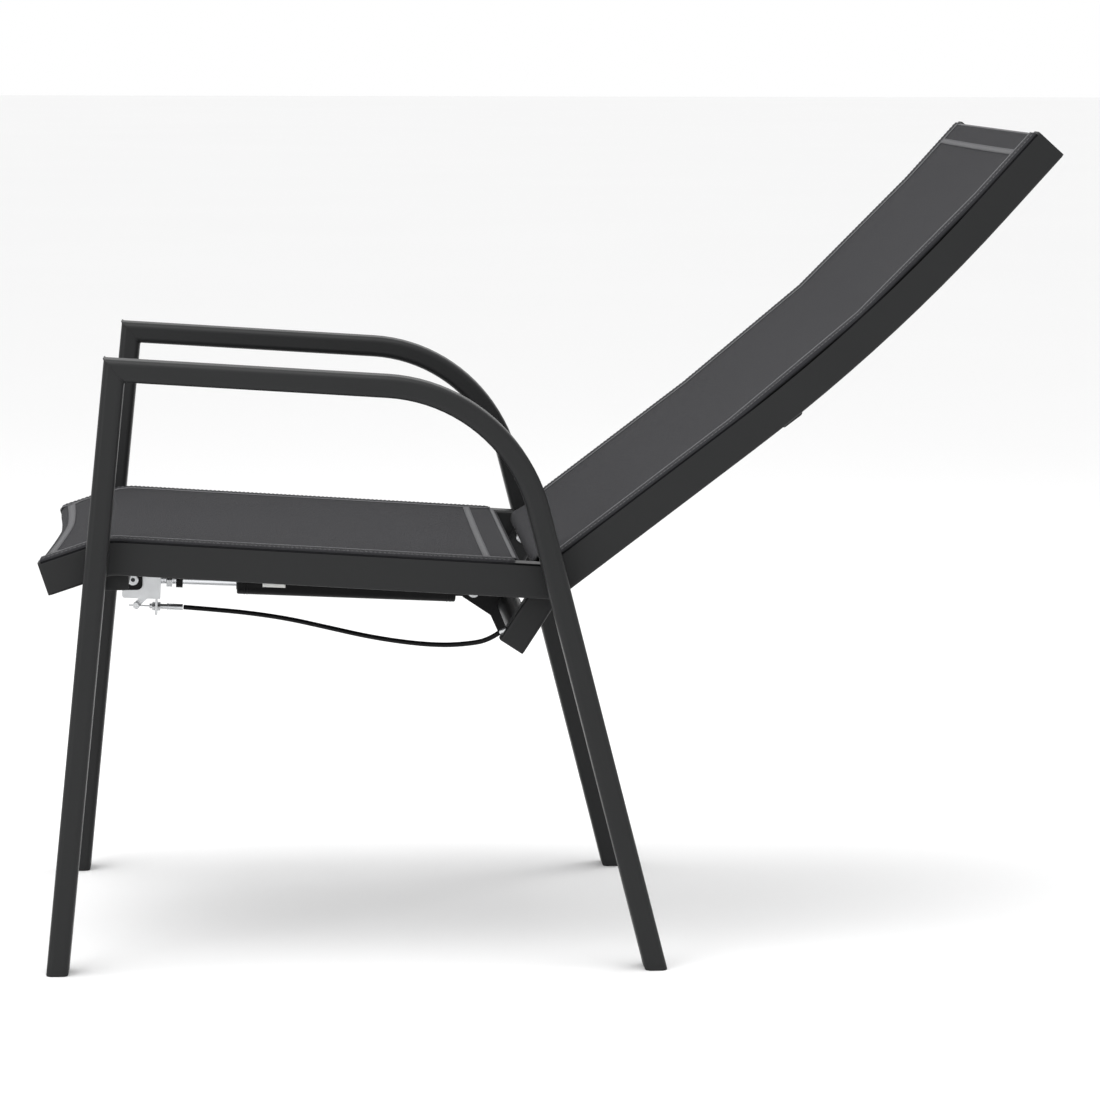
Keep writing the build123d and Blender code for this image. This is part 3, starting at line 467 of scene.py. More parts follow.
@dataclass
class Workshop:
    """Builds the finishes once and hands finished pieces to their bodies."""

    materials: dict[str, bpy.types.Material] = field(default_factory=dict)

    def __post_init__(self) -> None:
        """Build the shared groups and each finish."""
        groups = {group.name: group for group in (drift_group(), grain_group(), weave_group())}
        self.materials = {name: finish.material(groups) for name, finish in FINISHES.items()}

    def dress_nodes(self) -> None:
        """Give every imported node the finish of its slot."""
        for part in frame["record"]["subparts"]:
            node = frame["nodes"].get(part["node"])
            if node is None:
                continue
            for slot in node.material_slots:
                slot.material = self.materials[part["material_slot"]]
        LOG.info("dressed %d packed nodes", len(frame["nodes"]))

    def piece(
        self,
        mesh: bmesh.types.BMesh,
        name: str,
        finish: str,
        body: Body | None,
        slot: str | None = None,
        smooth: bool = True,
    ) -> bpy.types.Object:
        """Turn a mesh in the row frame into a finished piece.

        Args:
            mesh: The mesh, which is freed.
            name: The piece's name.
            finish: The finish's name.
            body: The body that it rides on, or None for none.
            slot: The record's slot it stands for, if not the finish's own name. Not used.
            smooth: Whether its faces are shaded smooth.

        Returns:
            The piece's object, at the origin.
        """
        data = bpy.data.meshes.new(name)
        for face in mesh.faces:
            face.smooth = smooth
        mesh.to_mesh(data)
        mesh.free()
        made = bpy.data.objects.new(name, data)
        bpy.context.scene.collection.objects.link(made)
        data.materials.append(self.materials[finish])
        if body is not None:
            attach(made, body.value)
        LOG.info("%s: %d faces", name, len(data.polygons))
        return made


# Slings


@dataclass
class SideLine:
    """A line in side view through corners that are rounded off, measured along its length."""

    corners: list[tuple[Vector, float]]
    finest: float = math.radians(6.0)
    points: list[Vector] = field(default_factory=list)
    headings: list[Vector] = field(default_factory=list)
    lengths: list[float] = field(default_factory=list)
    starts: list[float] = field(default_factory=list)
    ends: list[float] = field(default_factory=list)

    def __post_init__(self) -> None:
        """Lay the straight runs and the arcs end to end."""
        places = [corner[0] for corner in self.corners]
        runs = [(after - before).normalized() for before, after in zip(places, places[1:])]
        self.add(places[0], runs[0])
        for index in range(1, len(places) - 1):
            before, after, radius = runs[index - 1], runs[index], self.corners[index][1]
            turn = before.angle(after)
            cut = radius * math.tan(turn / 2)
            side = 1.0 if before.cross(after).y < 0 else -1.0
            centre = places[index] - before * cut + Vector((-before.z, 0.0, before.x)) * side * radius
            steps = max(2, math.ceil(turn / self.finest))
            for step in range(steps + 1):
                spin = Matrix.Rotation(-side * turn * step / steps, 3, "Y")
                arm = spin @ (places[index] - before * cut - centre)
                self.add(centre + arm, spin @ before)
                if step == 0:
                    self.starts.append(self.lengths[-1])
            self.ends.append(self.lengths[-1])
        self.add(places[-1], runs[-1])

    def add(self, point: Vector, way: Vector) -> None:
        """Add one point and the line's heading there."""
        before = self.lengths[-1] + (point - self.points[-1]).length if self.points else 0.0
        self.points.append(point.copy())
        self.headings.append(way.copy())
        self.lengths.append(before)

    def at(self, distance: float) -> tuple[Vector, Vector]:
        """A place on the line.

        Args:
            distance: How far along the line, in metres.

        Returns:
            The point and the unit normal on the line's left.
        """
        index = 0
        while index < len(self.lengths) - 2 and self.lengths[index + 1] < distance:
            index += 1
        span = max(self.lengths[index + 1] - self.lengths[index], 1e-9)
        share = min(max((distance - self.lengths[index]) / span, 0.0), 1.0)
        point = self.points[index].lerp(self.points[index + 1], share)
        way = self.headings[index].lerp(self.headings[index + 1], share).normalized()
        return point, Vector((-way.z, 0.0, way.x))

    def stations(self, coarse: float) -> list[float]:
        """Distances along the line for mesh rows, closer together on tight arcs.

        Args:
            coarse: The widest spacing, in metres.

        Returns:
            The distances in order.
        """
        rows = [0.0]
        for length in self.lengths[1:]:
            gap = length - rows[-1]
            if gap < 1e-5:
                continue
            parts = max(1, math.ceil(gap / coarse))
            rows += [rows[-1] + gap * (part + 1) / parts for part in range(parts)]
        return rows


def thinned(rows: list[float]) -> list[float]:
    """The rows without those that nearly touch the next one."""
    return [row for row, after in zip(rows, [*rows[1:], math.inf]) if after - row > LEAST_ROW]


@dataclass
class Sling:
    """A sheet of mesh fabric stretched over two rails, held in the groove at each rail's outer top corner."""

    name: str
    body: Body
    line: SideLine
    outer: float
    first_inner: float
    last_inner: float
    lay_from: float
    lay_to: float
    first_reach: float
    last_reach: float
    sag: float
    thickness: float = 0.0012
    lip: float = 0.0052
    corner: float = 0.0012
    turn: float = math.radians(125.0)
    groove: float = 0.0045
    flare: float = 0.0
    settle: tuple[Vector, float, float] | None = None

    def flat(self) -> float:
        """The distance from the middle to where the cloth turns into the groove."""
        return self.outer - self.lip

    def half(self) -> float:
        """Half of the cloth's cut width."""
        return self.flat() + self.corner * self.turn + self.groove

    def over_rail(self, across: float) -> tuple[float, float, float]:
        """Where the cloth lies as it turns down into a rail's groove.

        Args:
            across: The distance from the cloth's middle, in metres.

        Returns:
            The distance from the chair's middle, the drop below the rail's top, and the lean in radians.
        """
        past = across - self.flat()
        if past <= 0:
            return across, 0.0, 0.0
        lean = min(past / self.corner, self.turn)
        lateral = self.flat() + self.corner * math.sin(lean)
        drop = self.corner * (1 - math.cos(lean))
        rest = max(past - self.corner * self.turn, 0.0)
        return lateral + rest * math.cos(self.turn), drop + rest * math.sin(self.turn), lean

    def place(self, along: float, across: float, lift: float = 0.0) -> Vector:
        """A point of the stretched cloth.

        Args:
            along: The distance along the side line.
            across: The distance from the cloth's middle, negative on the left.
            lift: The height above the cloth's underside.

        Returns:
            The point in the row frame.
        """
        reach = abs(across)
        if reach > self.first_inner and along < self.lay_from:
            point, normal = self.line.at(self.lay_from)
            way = Vector((normal.z, 0.0, -normal.x))
            point = point - way * (self.lay_from - along)
        elif reach > self.last_inner and along > self.lay_to:
            point, normal = self.line.at(self.lay_to)
            way = Vector((normal.z, 0.0, -normal.x))
            point = point + way * (along - self.lay_to)
        else:
            point, normal = self.line.at(along)
            if self.flare and reach <= self.first_inner:
                ahead = self.line.at(self.lay_from)[1]
                pull = self.flare * (reach / self.first_inner) ** 1.4
                fade = 1.0 - smooth_step((along - self.lay_from) / 0.03)
                point = point - Vector((ahead.z, 0.0, -ahead.x)) * pull * fade
        lateral, drop, lean = self.over_rail(reach)
        if self.settle is not None and along > self.lay_from - 0.04:
            origin, angle, span = self.settle
            height = (point - origin).dot(heading(angle + 90))
            inward = smooth_step((reach - self.first_inner) / 0.02)
            if (point - origin).dot(heading(angle)) < span and height > 0:
                point = point - heading(angle + 90) * height * inward
        inner = self.outer - RAIL_WIDTH
        if reach < inner and self.lay_from < along < self.lay_to:
            share = (along - self.lay_from) / (self.lay_to - self.lay_from)
            drop += self.sag * (1 - (reach / inner) ** 2) * math.sin(math.pi * share) ** 0.6
        side = -1.0 if across < 0 else 1.0
        rise = normal * (lift * math.cos(lean) - drop)
        return point + rise + ACROSS * side * (lateral + lift * math.sin(lean))

    def columns(self) -> list[float]:
        """Distances across the cloth for mesh columns, closer together over the rails."""
        flat = self.flat()
        arc = self.corner * self.turn
        stops = [COLUMN_STEP * step for step in range(int((self.outer - 0.034) / COLUMN_STEP) + 1)]
        stops += [self.outer - 0.0285, self.outer - 0.016, flat]
        for inner in {self.first_inner, self.last_inner}:
            stops += [inner, inner + SLIT]
        stops += [flat + arc * part / 5 for part in range(1, 6)]
        stops += [flat + arc + self.groove / 2, self.half()]
        ordered = sorted(set(round(stop, 5) for stop in stops))
        kept = [ordered[0]]
        for stop in ordered[1:]:
            if stop - kept[-1] > 0.0004:
                kept.append(stop)
        return [-stop for stop in reversed(kept[1:])] + kept

    def removed(self, along: float, across: float) -> bool:
        """Whether the cut leaves this part of the cloth away, beside a sleeve."""
        reach = abs(across)
        if reach > self.first_inner and along < self.lay_from - self.first_reach:
            return True
        if self.first_inner < reach < self.first_inner + SLIT and along < self.lay_from:
            return True
        if reach > self.last_inner and along > self.lay_to + self.last_reach:
            return True
        return self.last_inner < reach < self.last_inner + SLIT and along > self.lay_to

    def grid(self, rows: list[float], columns: list[float], lift: float) -> bmesh.types.BMesh:
        """A grid laid on the stretched cloth, with the cloth's own measure as its map.

        Args:
            rows: Distances along the side line.
            columns: Distances across the cloth.
            lift: The height above the cloth's underside.

        Returns:
            The mesh.
        """
        mesh = bmesh.new()
        bmesh.ops.create_grid(mesh, x_segments=len(columns) - 1, y_segments=len(rows) - 1, size=1.0)
        measure: dict[bmesh.types.BMVert, tuple[float, float]] = {}
        for vertex in mesh.verts:
            column = round((vertex.co.x + 1) / 2 * (len(columns) - 1))
            row = round((vertex.co.y + 1) / 2 * (len(rows) - 1))
            measure[vertex] = (columns[column], rows[row])
            vertex.co = self.place(rows[row], columns[column], lift)
        layer = mesh.loops.layers.uv.new("Cloth")
        cut_away = []
        for face in mesh.faces:
            middle = [sum(measure[vertex][axis] for vertex in face.verts) / len(face.verts) for axis in (0, 1)]
            if self.removed(middle[1], middle[0]):
                cut_away.append(face)
            for loop in face.loops:
                loop[layer].uv = measure[loop.vert]
        bmesh.ops.delete(mesh, geom=cut_away, context="FACES")
        top = max(mesh.faces, key=lambda face: face.calc_area())
        upward = self.line.at(sum(measure[vertex][1] for vertex in top.verts) / 4)[1]
        if top.normal.dot(upward) < 0:
            bmesh.ops.reverse_faces(mesh, faces=mesh.faces[:])
        return mesh

    def thicken(self, made: bpy.types.Object, thickness: float) -> None:
        """Give a laid grid its thickness.

        Args:
            made: The piece.
            thickness: The thickness above the grid, in metres.
        """
        solid = made.modifiers.new("thickness", "SOLIDIFY")
        solid.thickness = thickness
        solid.offset = 1.0
        solid.use_even_offset = False

    def build(self, shop: Workshop, node: str, tapes: list[bpy.types.Object]) -> bpy.types.Object:
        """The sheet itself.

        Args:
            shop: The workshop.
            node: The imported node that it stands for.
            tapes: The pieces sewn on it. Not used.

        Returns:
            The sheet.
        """
        turns = [self.lay_from, self.lay_to, self.lay_from - self.first_reach, self.lay_to + self.last_reach]
        rows = thinned(sorted(set(self.line.stations(ROW_STEP) + turns)))
        made = shop.piece(self.grid(rows, self.columns(), 0.0001), self.name, "sling_fabric", self.body)
        self.thicken(made, self.thickness)
        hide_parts(node)
        flat = (2 * self.half(), rows[-1])
        return made

    def strip(
        self, shop: Workshop, name: str, finish: str, rows: list[float], columns: list[float], height: float
    ) -> bpy.types.Object:
        """A strip that is sewn on the cloth.

        Args:
            shop: The workshop.
            name: The strip's name.
            finish: Its finish.
            rows: Distances along the side line.
            columns: Distances across the cloth.
            height: Its thickness in metres.

        Returns:
            The strip.
        """
        mesh = self.grid(rows, columns, self.thickness + 0.0001)
        made = shop.piece(mesh, name, finish, self.body, "sling_fabric")
        self.thicken(made, height)
        return made

    def stitches(
        self, shop: Workshop, name: str, ends: list[tuple[float, float]], lift: float
    ) -> bpy.types.Object:
        """Rows of stitches between pairs of places on the cloth.

        Args:
            shop: The workshop.
            name: The piece's name.
            ends: Places as (along, across), two for each row.
            lift: The height of the thread's middle above the cloth's underside.

        Returns:
            The stitches as one piece.
        """
        pitch, length, width = 0.0046, 0.0034, 0.00085
        mesh = bmesh.new()
        for first, last in zip(ends[::2], ends[1::2]):
            count = max(1, int(math.dist(first, last) / pitch))
            for index in range(count):
                share = (index + 0.5) / count
                along, across = (a + (b - a) * share for a, b in zip(first, last))
                ahead = [value + (b - a) * 0.001 for value, a, b in zip((along, across), first, last)]
                here = self.place(along, across, lift)
                way = (self.place(*ahead, lift) - here).normalized()
                up = (self.place(along, across, lift + 0.001) - here).normalized()
                turn = Matrix((way, up.cross(way), up)).transposed().to_4x4()
                size = Matrix.Diagonal((length / 2, width / 2, width / 2, 1.0))
                bmesh.ops.create_icosphere(
                    mesh, subdivisions=1, radius=1.0, matrix=Matrix.Translation(here) @ turn @ size
                )
        return shop.piece(mesh, name, "thread", self.body, "sling_fabric")


def spaced(first: float, last: float, step: float) -> list[float]:
    """Numbers from first to last, at most a step apart."""
    count = max(1, math.ceil(abs(last - first) / step))
    return [first + (last - first) * index / count for index in range(count + 1)]


@dataclass
class Upholstery:
    """The seat sling and the back sling, with their tapes, hems and stitching."""

    shop: Workshop
    seat_angle: float = -3.5
    nose_angle: float = 18.5
    back_angle: float = BACK_ANGLE
    back_bow: float = 10.8
    rail_depth: float = 0.035

    def seat(self) -> None:
        """The seat sling, sleeved round the front bar and the rear bar."""
        bend = Vector((-0.443, 0.0, 0.433))
        bar, rear_bar = SEAT_FRONT_BAR, SEAT_REAR_BAR
        wrap, rear_wrap, front_reach, tuck = 0.0118, 0.0100, 0.0085, 0.0105
        seam_x, rear_seam_x = -0.4450, -0.0640
        front_x, rear_x = bar.x - wrap - front_reach, rear_bar.x + rear_wrap + 0.0035
        up = Vector((0.0, 0.0, 1.0))
        front = meet(bend, self.nose_angle, Vector((front_x, 0.0, 0.0)), 90)
        rear = meet(bend, self.seat_angle, Vector((rear_x, 0.0, 0.0)), 90)
        seam = meet(bend, self.seat_angle, Vector((seam_x, 0.0, 0.0)), 90) - up * 0.0045
        rear_seam = meet(bend, self.seat_angle, Vector((rear_seam_x, 0.0, 0.0)), 90) - up * 0.0022
        under, rear_under = bar.z - wrap - 0.001, rear_bar.z - rear_wrap
        line = SideLine(
            [
                (seam, 0.0),
                (Vector((bar.x + tuck, 0.0, under)), 0.008),
                (Vector((front_x, 0.0, under)), 0.009),
                (front, 0.0085),
                (bend, 0.0775),
                (rear, 0.0085),
                (Vector((rear_x, 0.0, rear_under)), 0.0098),
                (Vector((rear_bar.x - tuck, 0.0, rear_under)), 0.008),
                (rear_seam, 0.0),
            ]
        )
        front_s, rear_s = line.ends[2], line.starts[4]
        sling = Sling(
            "seat_sling_sheet", Body.FRAME, line, outer=0.262, first_inner=0.2335, last_inner=0.2335,
            lay_from=front_s, lay_to=rear_s, first_reach=0.0175, last_reach=0.001, sag=0.004, flare=0.0105,
        )
        side = sling.outer - RAIL_WIDTH
        tapes = [
            sling.strip(
                self.shop, "seat_rear_tape", "tape",
                spaced(rear_s - 0.0300, rear_s - 0.0230, TAPE_STEP), spaced(-side, side, COLUMN_STEP),
                TAPE_HEIGHT,
            ),
            sling.strip(
                self.shop, "seat_front_tape", "tape",
                spaced(front_s + 0.0005, front_s + 0.0075, TAPE_STEP), spaced(-side, side, COLUMN_STEP),
                TAPE_HEIGHT,
            ),
            sling.strip(
                self.shop, "seat_rear_piping", "tape",
                spaced(rear_s - 0.0005, rear_s + 0.0030, PIPING_STEP), spaced(-side, side, COLUMN_STEP),
                PIPING_HEIGHT,
            ),
        ]
        tapes += self.hems(sling, "seat", front_s - 0.0165, rear_s - 0.001)
        rows = []
        for place in (rear_s - 0.0289, rear_s - 0.0241, front_s + 0.0016, front_s + 0.0064):
            rows += [(place, -side), (place, side)]
        tapes.append(sling.stitches(self.shop, "seat_tape_stitches", rows, STITCH_LIFT))
        sling.build(self.shop, "seat_sling", tapes)

    def back(self) -> None:
        """The back sling, sleeved round the low sleeve bar and the top bar."""
        start = beside(HINGE, self.back_angle, 0.0042)
        bend = start + heading(self.back_angle) * 0.417
        top_angle = self.back_angle + self.back_bow
        end = bend + heading(top_angle) * 0.253
        half = self.rail_depth / 2
        low, top = beside(start, self.back_angle, half), beside(end, top_angle, half)

        def local(origin: Vector, angle: float, along: float, up: float) -> Vector:
            """A point from an origin on the cloth, along and above its line."""
            return beside(origin + heading(angle) * along, angle, up)

        line = SideLine(
            [
                (local(low, self.back_angle, 0.050, -0.0022), 0.0),
                (local(low, self.back_angle, 0.0205, -0.0124), 0.0085),
                (local(low, self.back_angle, 0.0011, -0.0124), 0.0092),
                (local(low, self.back_angle, 0.0011, 0.0060), 0.0090),
                (local(low, self.back_angle, 0.0620, 0.0), 0.05),
                (meet(low, self.back_angle, top, top_angle), 1.8 - half),
                (local(top, top_angle, -0.0004, 0.0), 0.0040),
                (local(top, top_angle, -0.0004, -0.0209), 0.0098),
                (local(top, top_angle, -0.0245, -0.0209), 0.009),
                (local(top, top_angle, -0.0360, -0.0022), 0.0),
            ]
        )
        low_cut, top_s = line.ends[2] + 0.0295 - 0.0105, line.starts[5]
        sling = Sling(
            "back_sling_sheet", Body.BACK, line, outer=0.260, first_inner=0.2060, last_inner=0.2315,
            lay_from=low_cut, lay_to=top_s, first_reach=0.0, last_reach=0.0042, sag=0.003,
            settle=(low, self.back_angle, 0.070),
        )
        side = sling.outer - RAIL_WIDTH
        tapes = [
            sling.strip(
                self.shop, "back_top_tape", "tape",
                spaced(top_s - 0.0260, top_s - 0.0195, TAPE_STEP), spaced(-side, side, COLUMN_STEP),
                TAPE_HEIGHT,
            ),
            sling.strip(
                self.shop, "back_top_piping", "tape",
                spaced(top_s + 0.0010, top_s + 0.0045, PIPING_STEP), spaced(-0.2312, 0.2312, COLUMN_STEP),
                PIPING_HEIGHT,
            ),
        ]
        tapes += self.hems(sling, "back", low_cut + 0.001, top_s + 0.0038)
        rows = []
        for place in (top_s - 0.0251, top_s - 0.0204):
            rows += [(place, -side), (place, side)]
        tapes.append(sling.stitches(self.shop, "back_tape_stitches", rows, STITCH_LIFT))
        sling.build(self.shop, "back_sling", tapes)

    def hems(self, sling: Sling, label: str, first: float, last: float) -> list[bpy.types.Object]:
        """The doubled side hems, with a painted highlight strip along each inner edge and two rows of stitches
        each.

        Args:
            sling: The sling that they are sewn on.
            label: The start of their names.
            first: Where they start along the side line.
            last: Where they end.

        Returns:
            The hems, their painted edge highlights and stitches.
        """
        made = []
        flat = sling.flat()
        arc = sling.corner * sling.turn
        inner = sling.outer - RAIL_WIDTH + 0.0015
        rows = thinned([first, *(row for row in sling.line.stations(ROW_STEP) if first < row < last), last])
        for side, word in ((-1.0, "left"), (1.0, "right")):
            edge = [inner, inner + 0.008, inner + 0.016, flat, flat + arc / 2, flat + arc]
            made.append(
                sling.strip(
                    self.shop, f"{label}_{word}_hem", "sling_fabric", rows,
                    sorted(side * value for value in edge), PIPING_HEIGHT,
                )
            )
            # A strip in the lighter thread colour along each hem's inner edge: painted highlight where the edge
            # of the doubled hem catches the light.
            lip = [inner - 0.0016, inner - 0.0004, inner + 0.0010]
            made.append(
                sling.strip(
                    self.shop, f"{label}_{word}_selvedge", "thread", rows,
                    sorted(side * value for value in lip), 0.0010,
                )
            )
            ends = []
            for across in (side * (inner + 0.0035), side * (flat - 0.0012)):
                ends += [(first + 0.002, across), (last - 0.002, across)]
            made.append(sling.stitches(self.shop, f"{label}_{word}_stitches", ends, STITCH_LIFT))
        return made


# Cable


@dataclass
class Cable:
    """The release cable's black housing, from the front ferrule to the left hinge arm."""

    shop: Workshop
    diameter: float = 0.005
    front: tuple[float, float, float] = (-0.371241, -0.0055, 0.332264)
    points: tuple[tuple[float, float, float], ...] = (
        (-0.338, -0.010, 0.330),
        (-0.302, -0.023, 0.328),
        (-0.262, -0.047, 0.325),
        (-0.221, -0.081, 0.320),
        (-0.180, -0.116, 0.315),
        (-0.140, -0.150, 0.313),
        (-0.107, -0.178, 0.314),
        (-0.082, -0.199, 0.318),
        (-0.0600, -0.2120, 0.3235),
    )
    rear: tuple[float, float, float] = (-0.0486, -0.2178, 0.3327)
    split: float = -0.235

    def route(self) -> list[Vector]:
        """The points of the housing's smooth line.

        Returns:
            The points from the front ferrule to the hinge arm.
        """
        data = bpy.data.curves.new("housing_line", "CURVE")
        data.dimensions = "3D"
        data.resolution_u = 10
        spline = data.splines.new("NURBS")
        places = [self.front, *self.points, self.rear]
        spline.points.add(len(places) - 1)
        for point, place in zip(spline.points, places):
            point.co = (*place, 1.0)
        spline.order_u = 3
        spline.use_endpoint_u = True
        bare = bpy.data.objects.new("housing_line", data)
        mesh = bpy.data.meshes.new_from_object(bare)
        line = [vertex.co.copy() for vertex in mesh.vertices]
        bpy.data.meshes.remove(mesh)
        bpy.data.objects.remove(bare)
        bpy.data.curves.remove(data)
        return line

    def half(self, name: str, line: list[Vector], body: Body, start: Vector, end: Vector) -> bpy.types.Object:
        """One half of the housing, as a tube along the given points.

        Args:
            name: The piece's name.
            line: The points that it follows.
            body: The moving body at its end. Not used.
            start: Where it begins to follow that body. Not used.
            end: Where it follows that body wholly. Not used.

        Returns:
            The half.
        """
        mesh = bmesh.new()
        rim: list[bmesh.types.BMEdge] = []
        for index, point in enumerate(line):
            before, after = line[max(index - 1, 0)], line[min(index + 1, len(line) - 1)]
            turn = (after - before).to_track_quat("Z", "Y").to_matrix().to_4x4()
            circle = bmesh.ops.create_circle(
                mesh, cap_ends=index in (0, len(line) - 1), segments=16, radius=self.diameter / 2,
                matrix=Matrix.Translation(point) @ turn,
            )
            ring = [edge for edge in mesh.edges if all(vertex in circle["verts"] for vertex in edge.verts)]
            if rim:
                bmesh.ops.bridge_loops(mesh, edges=rim + ring)
            rim = ring
        bmesh.ops.recalc_face_normals(mesh, faces=mesh.faces[:])
        made = self.shop.piece(mesh, name, "black_plastic", None)
        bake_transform(made)
        return made

    def build(self) -> None:
        """Both halves of the housing."""
        line = self.route()
        middle = min(range(len(line)), key=lambda index: abs(line[index].x - self.split))
        halves = (
            ("cable_housing_front", line[: middle + 1], Body.STRUT, line[middle], line[0], line[0]),
            ("cable_housing_rear", line[middle:], Body.BACK, line[middle], line[-1], line[-1]),
        )
        for name, part, body, start, end, leaves in halves:
            made = self.half(name, part, body, start, end)
            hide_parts("cable_housing")


# Metalwork


@dataclass
class Metalwork:
    """Weld beads, threads, crimps and other small metal details."""

    shop: Workshop
    front: Vector = field(default_factory=lambda: Vector((-0.424, 0.0, 0.363)))
    rear: Vector = field(default_factory=lambda: Vector((-0.066, 0.0, 0.348)))

    def station(self, along: float, up: float = 0.0, lateral: float = 0.0) -> Matrix:
        """A frame on the gas spring's line.

        Args:
            along: The distance from the front bolt in metres.
            up: The height above the line.
            lateral: The distance towards the left.

        Returns:
            The matrix, whose Z axis points along the spring.
        """
        way = (self.rear - self.front).normalized()
        above = Vector((-way.z, 0.0, way.x))
        turn = Matrix((above, way.cross(above), way)).transposed().to_4x4()
        return Matrix.Translation(self.front + way * along + above * up - ACROSS * lateral) @ turn

    def ring(self, mesh: bmesh.types.BMesh, place: Matrix, radius: float, bead: float) -> None:
        """A round bead spun about a place's Z axis.

        Args:
            mesh: The mesh that it goes into.
            place: Its middle and direction.
            radius: The radius of its centre line.
            bead: The bead's own radius.
        """
        start = place @ Matrix.Translation((radius, 0.0, 0.0)) @ Matrix.Rotation(math.pi / 2, 4, "X")
        circle = bmesh.ops.create_circle(mesh, segments=8, radius=bead, matrix=start)
        edges = [edge for edge in mesh.edges if all(vertex in circle["verts"] for vertex in edge.verts)]
        bmesh.ops.spin(
            mesh, geom=circle["verts"] + edges, cent=place.translation, axis=place.col[2].xyz,
            angle=2 * math.pi, steps=36, use_merge=True,
        )

    def collar(self, mesh: bmesh.types.BMesh, place: Matrix, size: Vector, corner: float) -> None:
        """A bead round a rectangular tube.

        Args:
            mesh: The mesh that it goes into.
            place: Its middle, with Z along the tube.
            size: The tube's two widths and the bead's length.
            corner: The tube's corner radius.
        """
        bead = bmesh.new()
        bmesh.ops.create_cube(bead, size=1.0, matrix=Matrix.Diagonal((*size, 1.0)))
        uprights = [edge for edge in bead.edges if abs(edge.verts[0].co.z - edge.verts[1].co.z) > size.z / 2]
        bmesh.ops.bevel(
            bead, geom=uprights, offset=corner, segments=6, profile=0.5, affect="EDGES", material=-1,
        )
        rims = [edge for edge in bead.edges if abs(edge.verts[0].co.z - edge.verts[1].co.z) < 1e-7]
        bmesh.ops.bevel(
            bead, geom=rims, offset=size.z * 0.3, segments=3, profile=0.5, affect="EDGES", material=-1,
        )
        bmesh.ops.transform(bead, matrix=place, verts=bead.verts[:])
        data = bpy.data.meshes.new("collar")
        bead.to_mesh(data)
        bead.free()
        mesh.from_mesh(data)
        bpy.data.meshes.remove(data)

    def frame_welds(self) -> None:
        """Beads at the mitres and round the ends of the frame's cross bars."""
        foot = Vector((-0.494, 0.0, 0.0))
        lean, slope, height, leg_y, bar_end = 5.8, 3.5, 0.604, 0.282, 0.2336
        start = foot + Vector((height * math.sin(math.radians(lean)), 0.0, height))
        corner = meet(foot, 90 - lean, start, -slope)
        angle = (90 - lean - slope) / 2
        half_turn = math.radians((90 - lean + slope) / 2)
        depth = 0.022 / math.sin(half_turn)
        mesh = bmesh.new()
        for side in (-1.0, 1.0):
            out = heading(angle)
            up = beside(Vector(), angle, 1.0)
            turn = Matrix((ACROSS, up, out)).transposed().to_4x4()
            place = Matrix.Translation(corner + ACROSS * side * leg_y) @ turn
            self.collar(mesh, place, Vector((0.0405, depth + 0.0006, 0.0013)), 0.0062)
        for bar, radius in ((SEAT_FRONT_BAR, 0.010), (SEAT_REAR_BAR, 0.009)):
            for side in (-1.0, 1.0):
                spot = Matrix.Translation((bar.x, side * bar_end, bar.z))
                self.ring(mesh, spot @ Matrix.Rotation(math.pi / 2, 4, "X"), radius, 0.0016)
        for side in (-1.0, 1.0):
            place = Matrix.Translation((-0.435, side * 0.2332, 0.390)) @ Matrix.Rotation(math.pi / 2, 4, "X")
            self.collar(mesh, place, Vector((0.0268, 0.0218, 0.0022)), 0.0032)
        bmesh.ops.recalc_face_normals(mesh, faces=mesh.faces[:])
        self.shop.piece(mesh, "frame_welds", "powder_coat", Body.FRAME)

    def back_welds(self) -> None:
        """Beads round the ends of the back's cross bars."""
        low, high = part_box("spring_bar")
        spring_bar = (low + high) / 2
        low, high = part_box("back_top_bar")
        top_bar = (low + high) / 2
        mesh = bmesh.new()
        spots = ((spring_bar, 0.012, 0.2078), (top_bar, 0.009, 0.2318), (SLEEVE_BAR, 0.008, 0.2078))
        for middle, radius, lateral in spots:
            for side in (-1.0, 1.0):
                spot = Matrix.Translation((middle.x, side * lateral, middle.z))
                self.ring(mesh, spot @ Matrix.Rotation(math.pi / 2, 4, "X"), radius, 0.0016)
        low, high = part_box("back_brace")
        brace = (low + high) / 2
        tilt = Matrix((heading(BACK_ANGLE), beside(Vector(), BACK_ANGLE, 1.0), -ACROSS)).transposed().to_4x4()
        for side in (-1.0, 1.0):
            place = Matrix.Translation((brace.x, side * 0.2314, brace.z)) @ tilt
            self.collar(mesh, place, Vector((0.0258, 0.0138, 0.0022)), 0.0034)
        bmesh.ops.recalc_face_normals(mesh, faces=mesh.faces[:])
        self.shop.piece(mesh, "back_welds", "powder_coat", Body.BACK)

    def thread(
        self, mesh: bmesh.types.BMesh, place: Matrix, radius: float, pitch: float, turns: float, ridge: float
    ) -> None:
        """A screw thread's ridge, spun along a place's Z axis.

        Args:
            mesh: The mesh that it goes into.
            place: The start of the thread and its direction.
            radius: The radius at the ridge's foot.
            pitch: The advance in a turn.
            turns: The number of turns.
            ridge: The ridge's height.
        """
        facets = 24
        start = place @ Matrix.Translation((radius, 0.0, 0.0)) @ Matrix.Rotation(math.pi / 2, 4, "X")
        shape = bmesh.ops.create_circle(mesh, segments=3, radius=ridge, matrix=start)
        edges = [edge for edge in mesh.edges if all(vertex in shape["verts"] for vertex in edge.verts)]
        bmesh.ops.spin(
            mesh, geom=shape["verts"] + edges, cent=place.translation, axis=place.col[2].xyz,
            dvec=place.col[2].xyz * pitch / facets, angle=2 * math.pi * turns, steps=int(turns * facets),
            use_merge=False,
        )
        bmesh.ops.holes_fill(mesh, edges=[edge for edge in mesh.edges if edge.is_boundary], sides=3)

